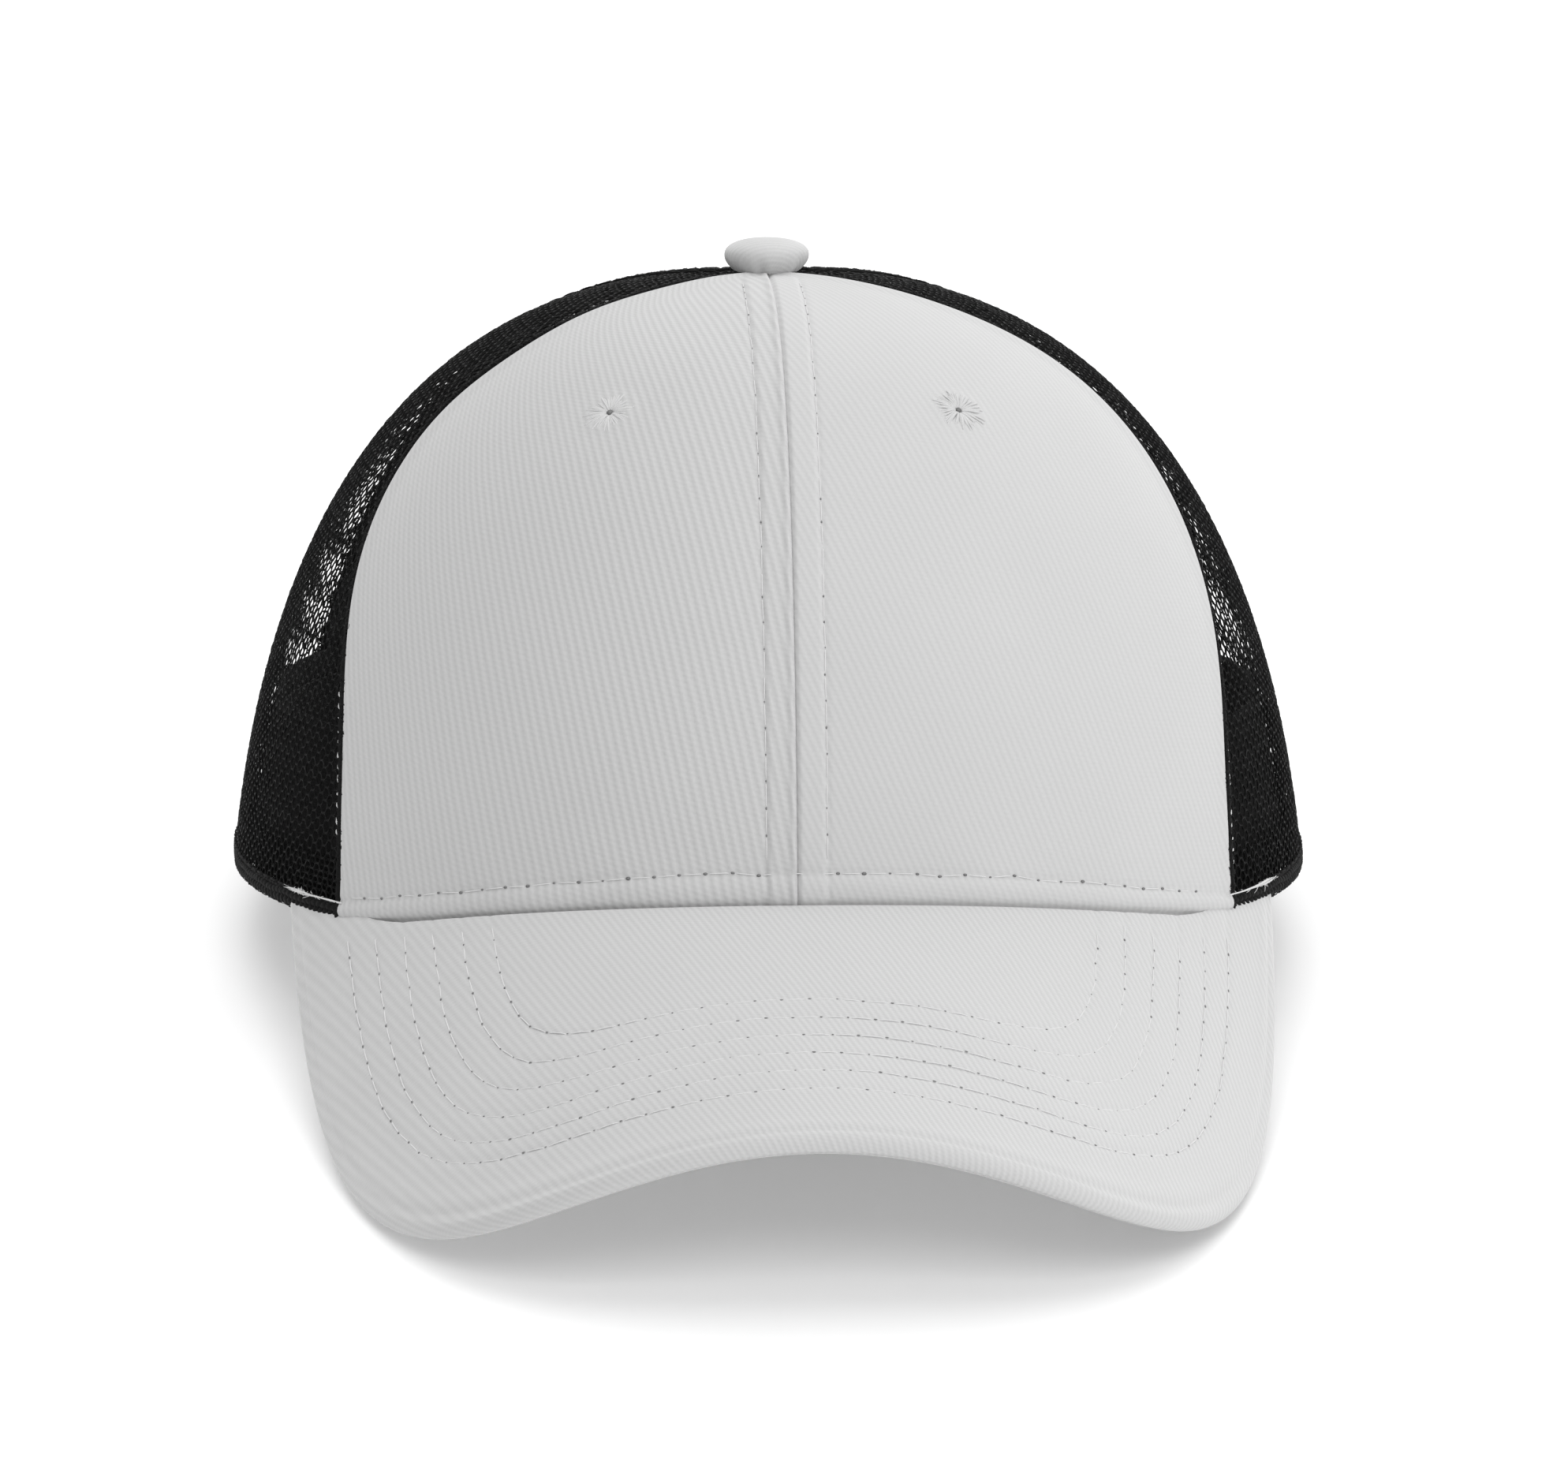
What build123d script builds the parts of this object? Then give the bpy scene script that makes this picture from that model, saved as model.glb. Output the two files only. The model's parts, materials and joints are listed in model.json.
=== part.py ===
"""Trucker mesh cap: structured twill front, mesh sides and back, curved visor, snap strap.

Millimetres, +Z up, the visor points to -Y. "left" and "right" are as seen from the front.
The crown is drawn with its rim flat, and every finished piece is then tilted back by
lean_angle, so that the cap stands on its two visor corners and the hem at its back.
"""

import os
from math import asin, copysign, cos, degrees, hypot, pi, radians, sin

from build123d import *

# ---- crown ----
half_width = 88.5
front_reach = 96.2
rear_reach = 95.8
crown_height = 96.6
rim_angle = 12.0  # how far up the dome's quarter turn the rim lies, degrees
height_power = 0.757
side_fullness = 0.80  # a smaller power makes a squarer shoulder
front_fullness = 0.71
rear_fullness = 0.90
front_squareness = 2.23
apex_rise = 0.985  # the panels stop here, around the button's hole

# ---- panel seams, as azimuths in degrees from the centre front ----
front_seam_rim = 51.7
front_seam_drift = 3.6
front_seam_bulge = 13.5
rear_seam = 120.0
seam_gap = 0.12

# ---- cloth layers, as depths below the crown's outer surface ----
panel_layer = (0.0, 0.7)
buckram_layer = (0.8, 1.4)
mesh_layer = (0.15, 1.25)
hem_layer = (1.35, 2.05)
tape_layer = (1.5, 2.1)
sweatband_layer = (2.9, 3.8)
binding_layer = (-0.5, 2.45)
binding_slot = (0.05, 1.35)
hem_height = 9.0
tape_width = 12.0
sweatband_height = 30.0
sweatband_end = 146.5

# ---- rear opening and snap strap ----
arch_half_width = 42.0
arch_spring = 10.0
binding_width = 7.0
mesh_tuck = 0.9  # how far the mesh edge stays short of the opening, inside the binding
strap_layer = (3.9, 5.2)
peg_strap_drop = 1.6
strap_low, strap_high = 1.5, 17.5
strap_hinge = 152.4
strap_end_gap = 0.1
tab_end_gap = 1.0
tab_end = 138.0
strap_reach = 194.4
snap_pitch = 5.6
snap_count = 7
snap_inner = 2  # pegs and holes past the middle, towards each strap's free end
hole_radius = 2.8
peg_radius = 1.8
peg_length = 2.2

# ---- visor ----
root_rise = 6.2
root_half_width = 62.5  # the root reaches the rim here, and runs on just below it
root_power = 2.4
root_limit = 1.7
slope_half_width = 80.0
middle_slope = 0.366
slope_gain = 0.507
slope_fade = 0.002
visor_half_width = 79.7
visor_widest = -2.0
visor_length = 158.0
visor_squareness = 3.0
visor_thickness = 3.4
board_thickness = 2.0
cover_edge = 2.6
under_inset = 1.8  # the under cover stops this far short of the edge
root_gap = 0.2  # between the visor's root and the crown
root_cover = 2.0  # how far the front panels run down behind the visor's root

# ---- button and eyelets ----
button_radius = 7.0
button_height = 5.4
prong_radius = 1.4
back_radius = 8.0
back_thickness = 0.9
eyelet_azimuth = 27.0
eyelet_rise = 0.592
eyelet_radius = 3.9
eyelet_hole = 0.8

# ---- stance ----
lean_angle = 10.5

pieces = []


def signed_power(value, power):
    return copysign(abs(value) ** power, value)


def crown_point(azimuth, rise, inset=0.0):
    """A point on the dome: rise is 0 at the rim and 1 at the apex."""
    climb = radians(rim_angle + (90 - rim_angle) * rise)
    ahead, across = cos(radians(azimuth)), sin(radians(azimuth))
    fullness = side_fullness + (front_fullness - side_fullness) * max(ahead, 0) ** 2
    fullness += (rear_fullness - side_fullness) * max(-ahead, 0) ** 2
    shrink = (cos(climb) / cos(radians(rim_angle))) ** fullness
    round_power = 2 / front_squareness if ahead > 0 else 1.0
    reach = front_reach if ahead > 0 else rear_reach
    rim_share = sin(radians(rim_angle)) ** height_power
    lift = (sin(climb) ** height_power - rim_share) / (1 - rim_share)
    return Vector(
        (half_width - inset) * signed_power(across, round_power) * shrink,
        -(reach - inset) * signed_power(ahead, round_power) * shrink,
        (crown_height - inset) * lift,
    )


def rise_at(height):
    """The rise at which the dome reaches a height above the rim."""
    rim_share = sin(radians(rim_angle)) ** height_power
    share = height / crown_height * (1 - rim_share) + rim_share
    climb = degrees(asin(share ** (1 / height_power)))
    return (climb - rim_angle) / (90 - rim_angle)


def crown_plane(azimuth, rise, inset=0.0):
    """A plane on the dome, with its normal pointing out of the cap."""
    here = crown_point(azimuth, rise, inset)
    along = crown_point(azimuth + 0.1, rise, inset) - here
    upward = crown_point(azimuth, rise + 0.001, inset) - here
    return Plane(origin=here, x_dir=along, z_dir=along.cross(upward))


def front_seam(rise):
    return front_seam_rim + front_seam_drift * rise + front_seam_bulge * sin(pi * rise) ** 2


def patch(layer, left, right, bottom, top, columns=16, rows=16):
    """A closed piece of cloth that follows the dome between two depths.

    left and right give an azimuth for a rise, bottom and top a rise for an azimuth, and a
    layer holds two depths, each a number or a function of the azimuth.
    """

    def sheet(depth):
        grid = []
        for column in range(columns + 1):
            across = column / columns
            line = []
            for row in range(rows + 1):
                azimuth = left(0) + (right(0) - left(0)) * across
                low, high = bottom(azimuth), top(azimuth)
                rise = low + (high - low) * row / rows
                azimuth = left(rise) + (right(rise) - left(rise)) * across
                inset = depth(azimuth) if callable(depth) else depth
                line.append(crown_point(azimuth, rise, inset))
            grid.append(line)
        return Face.make_surface_from_array_of_points(grid, tol=0.01)

    outer, inner = sheet(layer[0]), sheet(layer[1])
    walls = []
    for edge in outer.edges():
        partner = inner.edges().sort_by_distance(edge @ 0.5)[0]
        walls.append(Face.make_surface_from_curves(edge, partner))
    return Solid(Shell([outer, inner, *walls]))


def level(value):
    """A limit of a patch that is the same all along it."""
    return lambda _: value


def finish(piece, name):
    piece.part.label = name
    pieces.append(piece.part)


# ---- visor geometry ----
def root_line(x):
    """How far forward the crown's rim lies at x."""
    return -front_reach * (1 - (abs(x) / half_width) ** front_squareness) ** (1 / front_squareness)


def root_height(x):
    fall = (abs(x) / root_half_width) ** root_power
    return root_rise * (1 - fall / (1 + (fall / root_limit) ** 4) ** 0.25)


def visor_height(x, y):
    """The visor's middle surface: straight lines from back to front, steeper at the sides."""
    share = (abs(x) / slope_half_width) ** 2
    slope = middle_slope + slope_gain * share + slope_fade * share**2
    return root_height(x) - slope * (root_line(x) - y)


def visor_section(y, depth):
    """A line across the visor at y, depth above its middle surface along the normal."""
    points = []
    step = 0.5
    for index in range(-10, 11):
        x = index * slope_half_width / 10
        tilt_x = (visor_height(x + step, y) - visor_height(x - step, y)) / (2 * step)
        tilt_y = visor_height(x, y + step) - visor_height(x, y)
        points.append((x, visor_height(x, y) + depth * (1 + tilt_x**2 + (tilt_y / step) ** 2) ** 0.5))
    return points


def visor_slab(low, high):
    """A slab of visor between two depths, with no outline yet."""
    with BuildPart() as slab:
        for y in (-168.0, -143.0, -118.0, -93.0, -68.0, -43.0, -18.0):
            with BuildSketch(Plane.XZ.offset(-y)):
                with BuildLine():
                    under = Spline(*visor_section(y, low))
                    over = Spline(*visor_section(y, high))
                    Line(under @ 0, over @ 0)
                    Line(under @ 1, over @ 1)
                make_face()
        loft(ruled=True)
    return slab.part


def visor_outline(inset):
    """The visor's shape from above, run back into the crown."""
    points = []
    for index in range(-12, 13):
        turn = index / 12 * pi / 2
        x = (visor_half_width - inset) * signed_power(sin(turn), 2 / visor_squareness)
        points.append((x, visor_widest - (visor_length - inset) * cos(turn) ** (2 / visor_squareness)))
    with BuildSketch() as outline:
        with BuildLine():
            front = Spline(*points)
            Line(front @ 0, front @ 1)
        make_face()
    return outline.sketch


def crown_plug(inset):
    """The space inside the crown's rim, which the visor's root stops at."""
    with BuildPart() as plug:
        for rise in (-0.12, 0.04, 0.2, 0.4):
            ring = [crown_point(15 * index, rise, inset) for index in range(24)]
            with BuildSketch(Plane.XY.offset(ring[0].Z)):
                with BuildLine():
                    Spline(*[(point.X, point.Y) for point in ring], periodic=True)
                make_face()
        loft()
    return plug.part


# ---- twill front panels with their stiffener ----
def panel_bottom(azimuth):
    across = crown_point(azimuth, 0).X
    return rise_at(max(root_height(across) - root_cover, 0.0))


sides = (("left", -1), ("right", 1))

for side, sign in sides:
    with BuildPart() as front_panel:
        add(
            patch(
                panel_layer,
                lambda rise: sign * seam_gap,
                lambda rise: sign * (front_seam(rise) - seam_gap),
                panel_bottom,
                level(apex_rise),
            )
        )
        with Locations(crown_plane(sign * eyelet_azimuth, eyelet_rise)):
            Cylinder(2.0, 8.0, mode=Mode.SUBTRACT)
    finish(front_panel, f"front_panel_{side}")

    with BuildPart() as buckram:
        add(
            patch(
                buckram_layer,
                lambda rise: sign * 5 * seam_gap,
                lambda rise: sign * (front_seam(rise) - 5 * seam_gap),
                panel_bottom,
                level(apex_rise),
            )
        )
        with Locations(crown_plane(sign * eyelet_azimuth, eyelet_rise)):
            Cylinder(2.0, 8.0, mode=Mode.SUBTRACT)
    finish(buckram, f"buckram_{side}")

    # An embroidered eyelet: a flange on each face of the panel and a stitched throat between.
    with BuildPart() as eyelet:
        with Locations(crown_plane(sign * eyelet_azimuth, eyelet_rise)):
            with Locations((0, 0, 0.35)):
                Cylinder(eyelet_radius, 0.4)
            with Locations((0, 0, -0.7)):
                Cylinder(1.8, 2.2)
            with Locations((0, 0, -1.75)):
                Cylinder(3.2, 0.3)
            Cylinder(eyelet_hole, 8.0, mode=Mode.SUBTRACT)
    finish(eyelet, f"eyelet_{side}")

# ---- mesh sides and back ----
with BuildPart() as arch_cutter:
    with BuildSketch(Plane.XZ.offset(-120)):
        with Locations((0, arch_spring)):
            Circle(arch_half_width + mesh_tuck)
        with Locations((0, arch_spring / 2 - 10)):
            Rectangle(2 * (arch_half_width + mesh_tuck), arch_spring + 20)
    extrude(amount=80)

for side, sign in sides:
    with BuildPart() as side_mesh:
        add(
            patch(
                mesh_layer,
                lambda rise: sign * (front_seam(rise) + seam_gap),
                lambda rise: sign * (rear_seam - seam_gap),
                level(0),
                level(apex_rise),
            )
        )
    finish(side_mesh, f"side_mesh_{side}")

    with BuildPart() as rear_mesh:
        add(
            patch(
                mesh_layer,
                lambda rise: sign * (rear_seam + seam_gap),
                lambda rise: sign * (180 - seam_gap),
                level(0),
                level(apex_rise),
            )
        )
        add(arch_cutter.part, mode=Mode.SUBTRACT)
    finish(rear_mesh, f"rear_mesh_{side}")

    with BuildPart() as mesh_hem:
        add(
            patch(
                hem_layer,
                lambda rise: sign * (front_seam_rim + 1.0),
                lambda rise: sign * 144.0,
                level(0),
                level(rise_at(hem_height)),
                columns=24,
                rows=4,
            )
        )
    finish(mesh_hem, f"mesh_hem_{side}")


# ---- seam tapes inside the crown ----
def tape(centre, low, high=0.975):
    """A tape along a seam. It narrows near the apex, where six tapes meet."""

    def half_turn(rise):
        around = crown_point(centre(rise), rise)
        return min(degrees(tape_width / 2 / hypot(around.X, around.Y)), 27.0)

    return patch(
        tape_layer,
        lambda rise: centre(rise) - half_turn(rise),
        lambda rise: centre(rise) + half_turn(rise),
        level(rise_at(low)),
        level(high),
        columns=6,
        rows=20,
    )


with BuildPart() as seam_tape_front:
    add(tape(level(0), root_rise))
finish(seam_tape_front, "seam_tape_front")

with BuildPart() as seam_tape_rear:
    add(tape(level(180), arch_spring + arch_half_width + binding_width + 2.5))
finish(seam_tape_rear, "seam_tape_rear")

for side, sign in sides:
    with BuildPart() as seam_tape_temple:
        add(tape(lambda rise: sign * front_seam(rise), hem_height + 0.5))
    finish(seam_tape_temple, f"seam_tape_temple_{side}")

    with BuildPart() as seam_tape_side:
        add(tape(level(sign * rear_seam), hem_height + 0.5))
    finish(seam_tape_side, f"seam_tape_side_{side}")


# ---- sweatband ----
def band_bottom_height(azimuth):
    return max(root_height(crown_point(azimuth, 0).X) if abs(azimuth) < 90 else 0, 0.0) + 1.0


with BuildPart() as sweatband:
    add(
        patch(
            sweatband_layer,
            level(-sweatband_end),
            level(sweatband_end),
            lambda azimuth: rise_at(band_bottom_height(azimuth)),
            lambda azimuth: rise_at(sweatband_height),
            columns=72,
            rows=6,
        )
    )
finish(sweatband, "sweatband")

# ---- binding round the rear opening: a folded strip that grips the mesh edge ----
with BuildPart() as slot:
    add(
        patch(
            binding_slot,
            level(138.0),
            level(222.0),
            level(-0.03),
            level(rise_at(66.0)),
            columns=20,
        )
    )
    add(arch_cutter.part, mode=Mode.SUBTRACT)

with BuildPart() as rear_binding:
    add(
        patch(
            binding_layer,
            level(140.0),
            level(220.0),
            level(0),
            level(rise_at(62.0)),
            columns=20,
        )
    )
    with BuildSketch(Plane.XZ.offset(-120)):
        with Locations((0, arch_spring)):
            Circle(arch_half_width + binding_width)
        with Locations((0, arch_spring / 2 - 10)):
            Rectangle(2 * (arch_half_width + binding_width), arch_spring + 20)
        with Locations((0, arch_spring)):
            Circle(arch_half_width, mode=Mode.SUBTRACT)
        with Locations((0, arch_spring / 2 - 10)):
            Rectangle(2 * arch_half_width, arch_spring + 20, mode=Mode.SUBTRACT)
    extrude(amount=80, mode=Mode.INTERSECT)
    add(slot.part, mode=Mode.SUBTRACT)
finish(rear_binding, "rear_binding")

# ---- snap strap: an outer half with holes and an inner half with pegs ----
strap_middle = (strap_low + strap_high) / 2


def strap_patch(layer, start, end):
    return patch(
        layer,
        level(start),
        level(end),
        level(rise_at(strap_low)),
        level(rise_at(strap_high)),
        columns=14,
        rows=4,
    )


def peg_strap_step(azimuth):
    """How far the peg strap has stepped inwards, to pass behind the strap with holes."""
    travel = (360 - strap_hinge - azimuth) / (360 - strap_hinge - strap_reach)
    eased = min(max(travel, 0.0), 1.0)
    return peg_strap_drop * eased**2 * (3 - 2 * eased)


turn_per_mm = 1 / (radians(1) * hypot(half_width, rear_reach) / 2**0.5)

with BuildPart() as hole_strap:
    add(strap_patch(strap_layer, strap_hinge + strap_end_gap * turn_per_mm, strap_reach))
    for index in range(snap_count):
        azimuth = 180 + (snap_inner - index) * snap_pitch
        with Locations(crown_plane(azimuth, rise_at(strap_middle), sum(strap_layer) / 2)):
            Cylinder(hole_radius, 6.0, mode=Mode.SUBTRACT)
finish(hole_strap, "hole_strap")

with BuildPart() as peg_strap:
    add(
        strap_patch(
            tuple((lambda azimuth, depth=depth: depth + peg_strap_step(azimuth)) for depth in strap_layer),
            360 - strap_reach,
            360 - strap_hinge - strap_end_gap * turn_per_mm,
        )
    )
    for index in range(snap_count):
        azimuth = 180 - (snap_inner - index) * snap_pitch
        depth = strap_layer[0] + peg_strap_step(azimuth)
        with Locations(crown_plane(azimuth, rise_at(strap_middle), depth)):
            with Locations((0, 0, peg_length / 2 - 0.2)):
                Cylinder(peg_radius, peg_length + 0.4)
finish(peg_strap, "peg_strap")

with BuildPart() as hole_strap_tab:
    add(strap_patch(strap_layer, tab_end, strap_hinge - tab_end_gap * turn_per_mm))
finish(hole_strap_tab, "hole_strap_tab")

with BuildPart() as peg_strap_tab:
    add(strap_patch(strap_layer, 360 - strap_hinge + tab_end_gap * turn_per_mm, 360 - tab_end))
finish(peg_strap_tab, "peg_strap_tab")

# ---- visor: a stiff board in a cloth cover, sewn shut along its edge ----
half_board = board_thickness / 2
half_visor = visor_thickness / 2
core_shape = visor_outline(cover_edge)
root_plug = crown_plug(-root_gap)

with BuildPart() as visor_board:
    add(visor_slab(-half_board, half_board))
    add(visor_outline(cover_edge + 0.1))
    extrude(amount=100, both=True, mode=Mode.INTERSECT)
    add(root_plug, mode=Mode.SUBTRACT)
finish(visor_board, "visor_board")

with BuildPart() as board_space:
    add(visor_slab(-half_board - 0.05, half_board + 0.05))
    add(core_shape)
    extrude(amount=100, both=True, mode=Mode.INTERSECT)

for name, low, high, shape in (
    ("visor_top_cover", 0.02, half_visor, visor_outline(0)),
    ("visor_under_cover", -half_visor, -0.02, visor_outline(under_inset)),
):
    with BuildPart() as cover:
        add(visor_slab(low, high))
        add(shape)
        extrude(amount=100, both=True, mode=Mode.INTERSECT)
        add(board_space.part, mode=Mode.SUBTRACT)
        add(root_plug, mode=Mode.SUBTRACT)
    finish(cover, name)

# ---- button: a cloth-covered shell held by a prong and a back plate ----
button_seat = crown_height + 0.15

with BuildPart() as button_cover:
    with BuildSketch(Plane.XZ) as profile:
        with BuildLine():
            Line((0, button_seat + button_height), (2.0, button_seat + button_height))
            Spline(
                (2.0, button_seat + button_height),
                (5.4, button_seat + button_height - 0.75),
                (button_radius, button_seat + button_height - 2.3),
                (6.3, button_seat + 0.5),
                (5.2, button_seat),
                tangents=[(1, 0), (-1, -0.3)],
            )
            Line((5.2, button_seat), (0, button_seat))
            Line((0, button_seat), (0, button_seat + button_height))
        make_face()
    revolve(axis=Axis.Z)
    with Locations((0, 0, button_seat + 1.9)):
        Cylinder(5.6, 2.6, mode=Mode.SUBTRACT)
    with Locations((0, 0, button_seat)):
        Cylinder(prong_radius + 0.2, 2.0, mode=Mode.SUBTRACT)
finish(button_cover, "button_cover")

with BuildPart() as button_shell:
    with Locations((0, 0, button_seat + 1.9)):
        Cylinder(5.5, 2.5)
        with Locations((0, 0, -0.6)):
            Cylinder(4.7, 1.6, mode=Mode.SUBTRACT)
finish(button_shell, "button_shell")

with BuildPart() as button_prong:
    with Locations((0, 0, crown_height - 3.2)):
        Cylinder(back_radius, back_thickness)
    with Locations((0, 0, crown_height - 0.4)):
        Cylinder(prong_radius, 5.0)
finish(button_prong, "button_prong")

# ---- stance: tilt the cap back and stand it on Z = 0, centred on the origin ----
tilt = Rot(-lean_angle, 0, 0)
extent = Compound(children=[tilt * piece for piece in pieces]).bounding_box()
stance = Pos(0, -(extent.min.Y + extent.max.Y) / 2, -extent.min.Z) * tilt

os.makedirs("parts", exist_ok=True)
for piece in pieces:
    placed = stance * piece
    placed.label = piece.label
    export_step(placed, f"parts/{piece.label}.step")

for height in (strap_low, strap_high):
    pin = stance * Pos(crown_point(strap_hinge, rise_at(height), sum(strap_layer) / 2))
    print("strap hinge", pin.position)
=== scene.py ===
"""The looks of a trucker mesh cap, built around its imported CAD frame.

Shapes are worked out in millimetres in the crown's own frame, where the rim is flat, the
visor points to -Y and azimuth 0 is the centre front, and stand() turns them into metres in
the row frame. "left" and "right" are as seen from the front.
"""

import json
import math

import bpy
import numpy as np
from mathutils import Matrix, Vector


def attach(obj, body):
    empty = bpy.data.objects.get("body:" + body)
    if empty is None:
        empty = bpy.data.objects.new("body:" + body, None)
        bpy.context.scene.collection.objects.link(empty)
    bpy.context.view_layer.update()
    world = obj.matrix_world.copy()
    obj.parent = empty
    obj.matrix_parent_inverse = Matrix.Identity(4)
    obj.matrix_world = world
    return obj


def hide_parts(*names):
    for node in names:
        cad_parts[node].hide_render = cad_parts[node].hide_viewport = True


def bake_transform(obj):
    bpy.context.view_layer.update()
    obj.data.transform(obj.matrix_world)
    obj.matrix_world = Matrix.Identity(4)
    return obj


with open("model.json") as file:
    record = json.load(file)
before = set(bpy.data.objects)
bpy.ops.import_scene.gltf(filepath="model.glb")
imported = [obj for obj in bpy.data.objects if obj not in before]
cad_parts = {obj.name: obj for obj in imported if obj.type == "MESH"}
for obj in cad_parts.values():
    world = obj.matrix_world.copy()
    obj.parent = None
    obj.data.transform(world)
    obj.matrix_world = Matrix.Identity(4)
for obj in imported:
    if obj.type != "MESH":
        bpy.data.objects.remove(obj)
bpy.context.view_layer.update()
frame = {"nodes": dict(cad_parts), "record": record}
MM = 0.001

# ---- crown, as in the CAD source ----
HALF_WIDTH, FRONT_REACH, REAR_REACH, CROWN_HEIGHT = 88.5, 96.2, 95.8, 96.6
RIM_ANGLE, HEIGHT_POWER = 12.0, 0.757
SIDE_FULLNESS, FRONT_FULLNESS, REAR_FULLNESS = 0.80, 0.71, 0.90
FRONT_SQUARENESS = 2.23
APEX_RISE, PANEL_TOP = 0.985, 0.993
SEAM_RIM, SEAM_DRIFT, SEAM_BULGE = 51.7, 3.6, 13.5
REAR_SEAM = 120.0
ARCH_HALF_WIDTH, ARCH_SPRING, BINDING_WIDTH = 42.0, 10.0, 7.0
ROOT_RISE, ROOT_HALF_WIDTH, ROOT_POWER = 6.2, 62.5, 2.4
ROOT_LIMIT, SLOPE_HALF_WIDTH = 1.7, 80.0
ROOT_COVER = 2.0
MIDDLE_SLOPE, SLOPE_GAIN, SLOPE_FADE = 0.366, 0.507, 0.002
VISOR_HALF_WIDTH, VISOR_WIDEST, VISOR_LENGTH, VISOR_SQUARENESS = 79.7, -2.0, 158.0, 3.0
VISOR_HALF_THICKNESS = 1.7
STRAP_LAYER, PEG_STRAP_DROP = (3.9, 5.2), 1.6
STRAP_LOW, STRAP_HIGH, STRAP_HINGE, STRAP_REACH, TAB_END = 1.5, 17.5, 152.4, 194.4, 138.0
SNAP_PITCH, SNAP_COUNT, SNAP_INNER, HOLE_RADIUS, PEG_RADIUS = 5.6, 7, 2, 2.8, 1.8
SWEATBAND_HEIGHT, SWEATBAND_END, HEM_HEIGHT, TAPE_WIDTH = 30.0, 146.5, 9.0, 12.0
EYELET_AZIMUTH, EYELET_RISE, EYELET_RADIUS = 27.0, 0.592, 3.9
BUTTON_SEAT, BUTTON_RADIUS = CROWN_HEIGHT + 0.15, 7.0

# ---- net, stitches ----
NET_COLUMN, NET_ROW = 1.5, 2.05
NET_HOLE = (0.74, 0.88)
HEM_TURN_IN = 3.0
SEAM_STITCH_DISTANCE = 4.8
BAND_STITCH_MIDDLE, BAND_STITCH_SIDE = 4.8, 3.1
PANEL_WIDTH, SEAM_REACH, CORNER_RADIUS = 78.0, 71.0, 2.6
VISOR_ROWS = 6
# The rolls of the hem's edge: height above the rim, depth, radius and seed of each.
HEM_ROLLS = ((0.85, 0.75, 0.95, 92), (0.9, 1.6, 0.75, 93), (1.9, 0.35, 0.62, 94), (2.6, 0.5, 0.45, 95))
THREAD_REACH = 20.0

# ---- depths of the layers below the crown's surface, outer face and inner face ----
NET_LAYER, HEM_LAYER, BUCKRAM_LAYER = (0.12, 0.42), (1.5, 1.8), (0.85, 1.38)
TAPE_LAYER, BAND_LAYER = (1.5, 2.1), (2.95, 3.75)

# ---- measures ----
RISE_LENGTH = 130  # mm along the crown from rim to apex, roughly
SEAM_TOP = 0.965  # the rise at which the net's seams end
CLOTH_FLOOR, NET_FLOOR = 0.31, 0.301  # least share of its rectangle that a sheet's area may be

# ---- studio and camera ----
# Each lamp: name, place, target, side, watts, and whether it casts a shadow.
LAMPS = (
    ("key", (1.45, -0.85, 0.4), (0, 0, 0.05), 0.9, 10.4, False),
    ("front", (-0.05, -1.2, 1.2), (0, 0, 0.05), 0.7, 7.0, True),
    ("top", (0.0, 0.15, 1.7), (0, 0.02, 0.0), 1.6, 12.5, True),
    ("back", (0.2, 1.5, 1.1), (0, 0.6, 0.0), 1.4, 12.0, False),
)
WORLD_STRENGTH, PAPER = 0.62, (0.93, 0.93, 0.93, 1)
CAMERA_AZIMUTH, CAMERA_ELEVATION, CAMERA_ROLL = -3.15, 19.74, 0.6
CAMERA_DISTANCE, CAMERA_LENS, CAMERA_SENSOR = 1.48, 206.7, 36.0
CAMERA_FOCUS, CAMERA_SHIFT = (0.0, -10.0, 45.0), (2.33, 23.2)

opening = next(m for m in frame["record"]["mounts"] if m["name"] == "head_opening")
RIM_CENTRE = opening["pos_m"]
LEAN = math.atan2(-opening["axis"][1], -opening["axis"][2])

rng = np.random.default_rng(7)
SIDES = (("left", -1), ("right", 1))


# ---- geometry of the crown and the visor ----
def signed_power(value, power):
    return np.sign(value) * np.abs(value) ** power


RIM_SHARE = math.sin(math.radians(RIM_ANGLE)) ** HEIGHT_POWER


def dome(azimuth, rise, inset=0.0):
    """Points on the crown, rise 0 at the rim and 1 at the apex, inset deep below its surface."""
    azimuth, rise, inset = np.broadcast_arrays(np.asarray(azimuth, float), rise, inset)
    climb = np.radians(RIM_ANGLE + (90 - RIM_ANGLE) * rise)
    ahead, across = np.cos(np.radians(azimuth)), np.sin(np.radians(azimuth))
    fullness = SIDE_FULLNESS + (FRONT_FULLNESS - SIDE_FULLNESS) * np.maximum(ahead, 0) ** 2
    fullness = fullness + (REAR_FULLNESS - SIDE_FULLNESS) * np.maximum(-ahead, 0) ** 2
    shrink = (np.cos(climb) / math.cos(math.radians(RIM_ANGLE))) ** fullness
    power = np.where(ahead > 0, 2 / FRONT_SQUARENESS, 1.0)
    reach = np.where(ahead > 0, FRONT_REACH, REAR_REACH)
    lift = (np.sin(climb) ** HEIGHT_POWER - RIM_SHARE) / (1 - RIM_SHARE)
    return np.stack(
        [
            (HALF_WIDTH - inset) * signed_power(across, power) * shrink,
            -(reach - inset) * signed_power(ahead, power) * shrink,
            (CROWN_HEIGHT - inset) * lift,
        ],
        axis=-1,
    )


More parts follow.
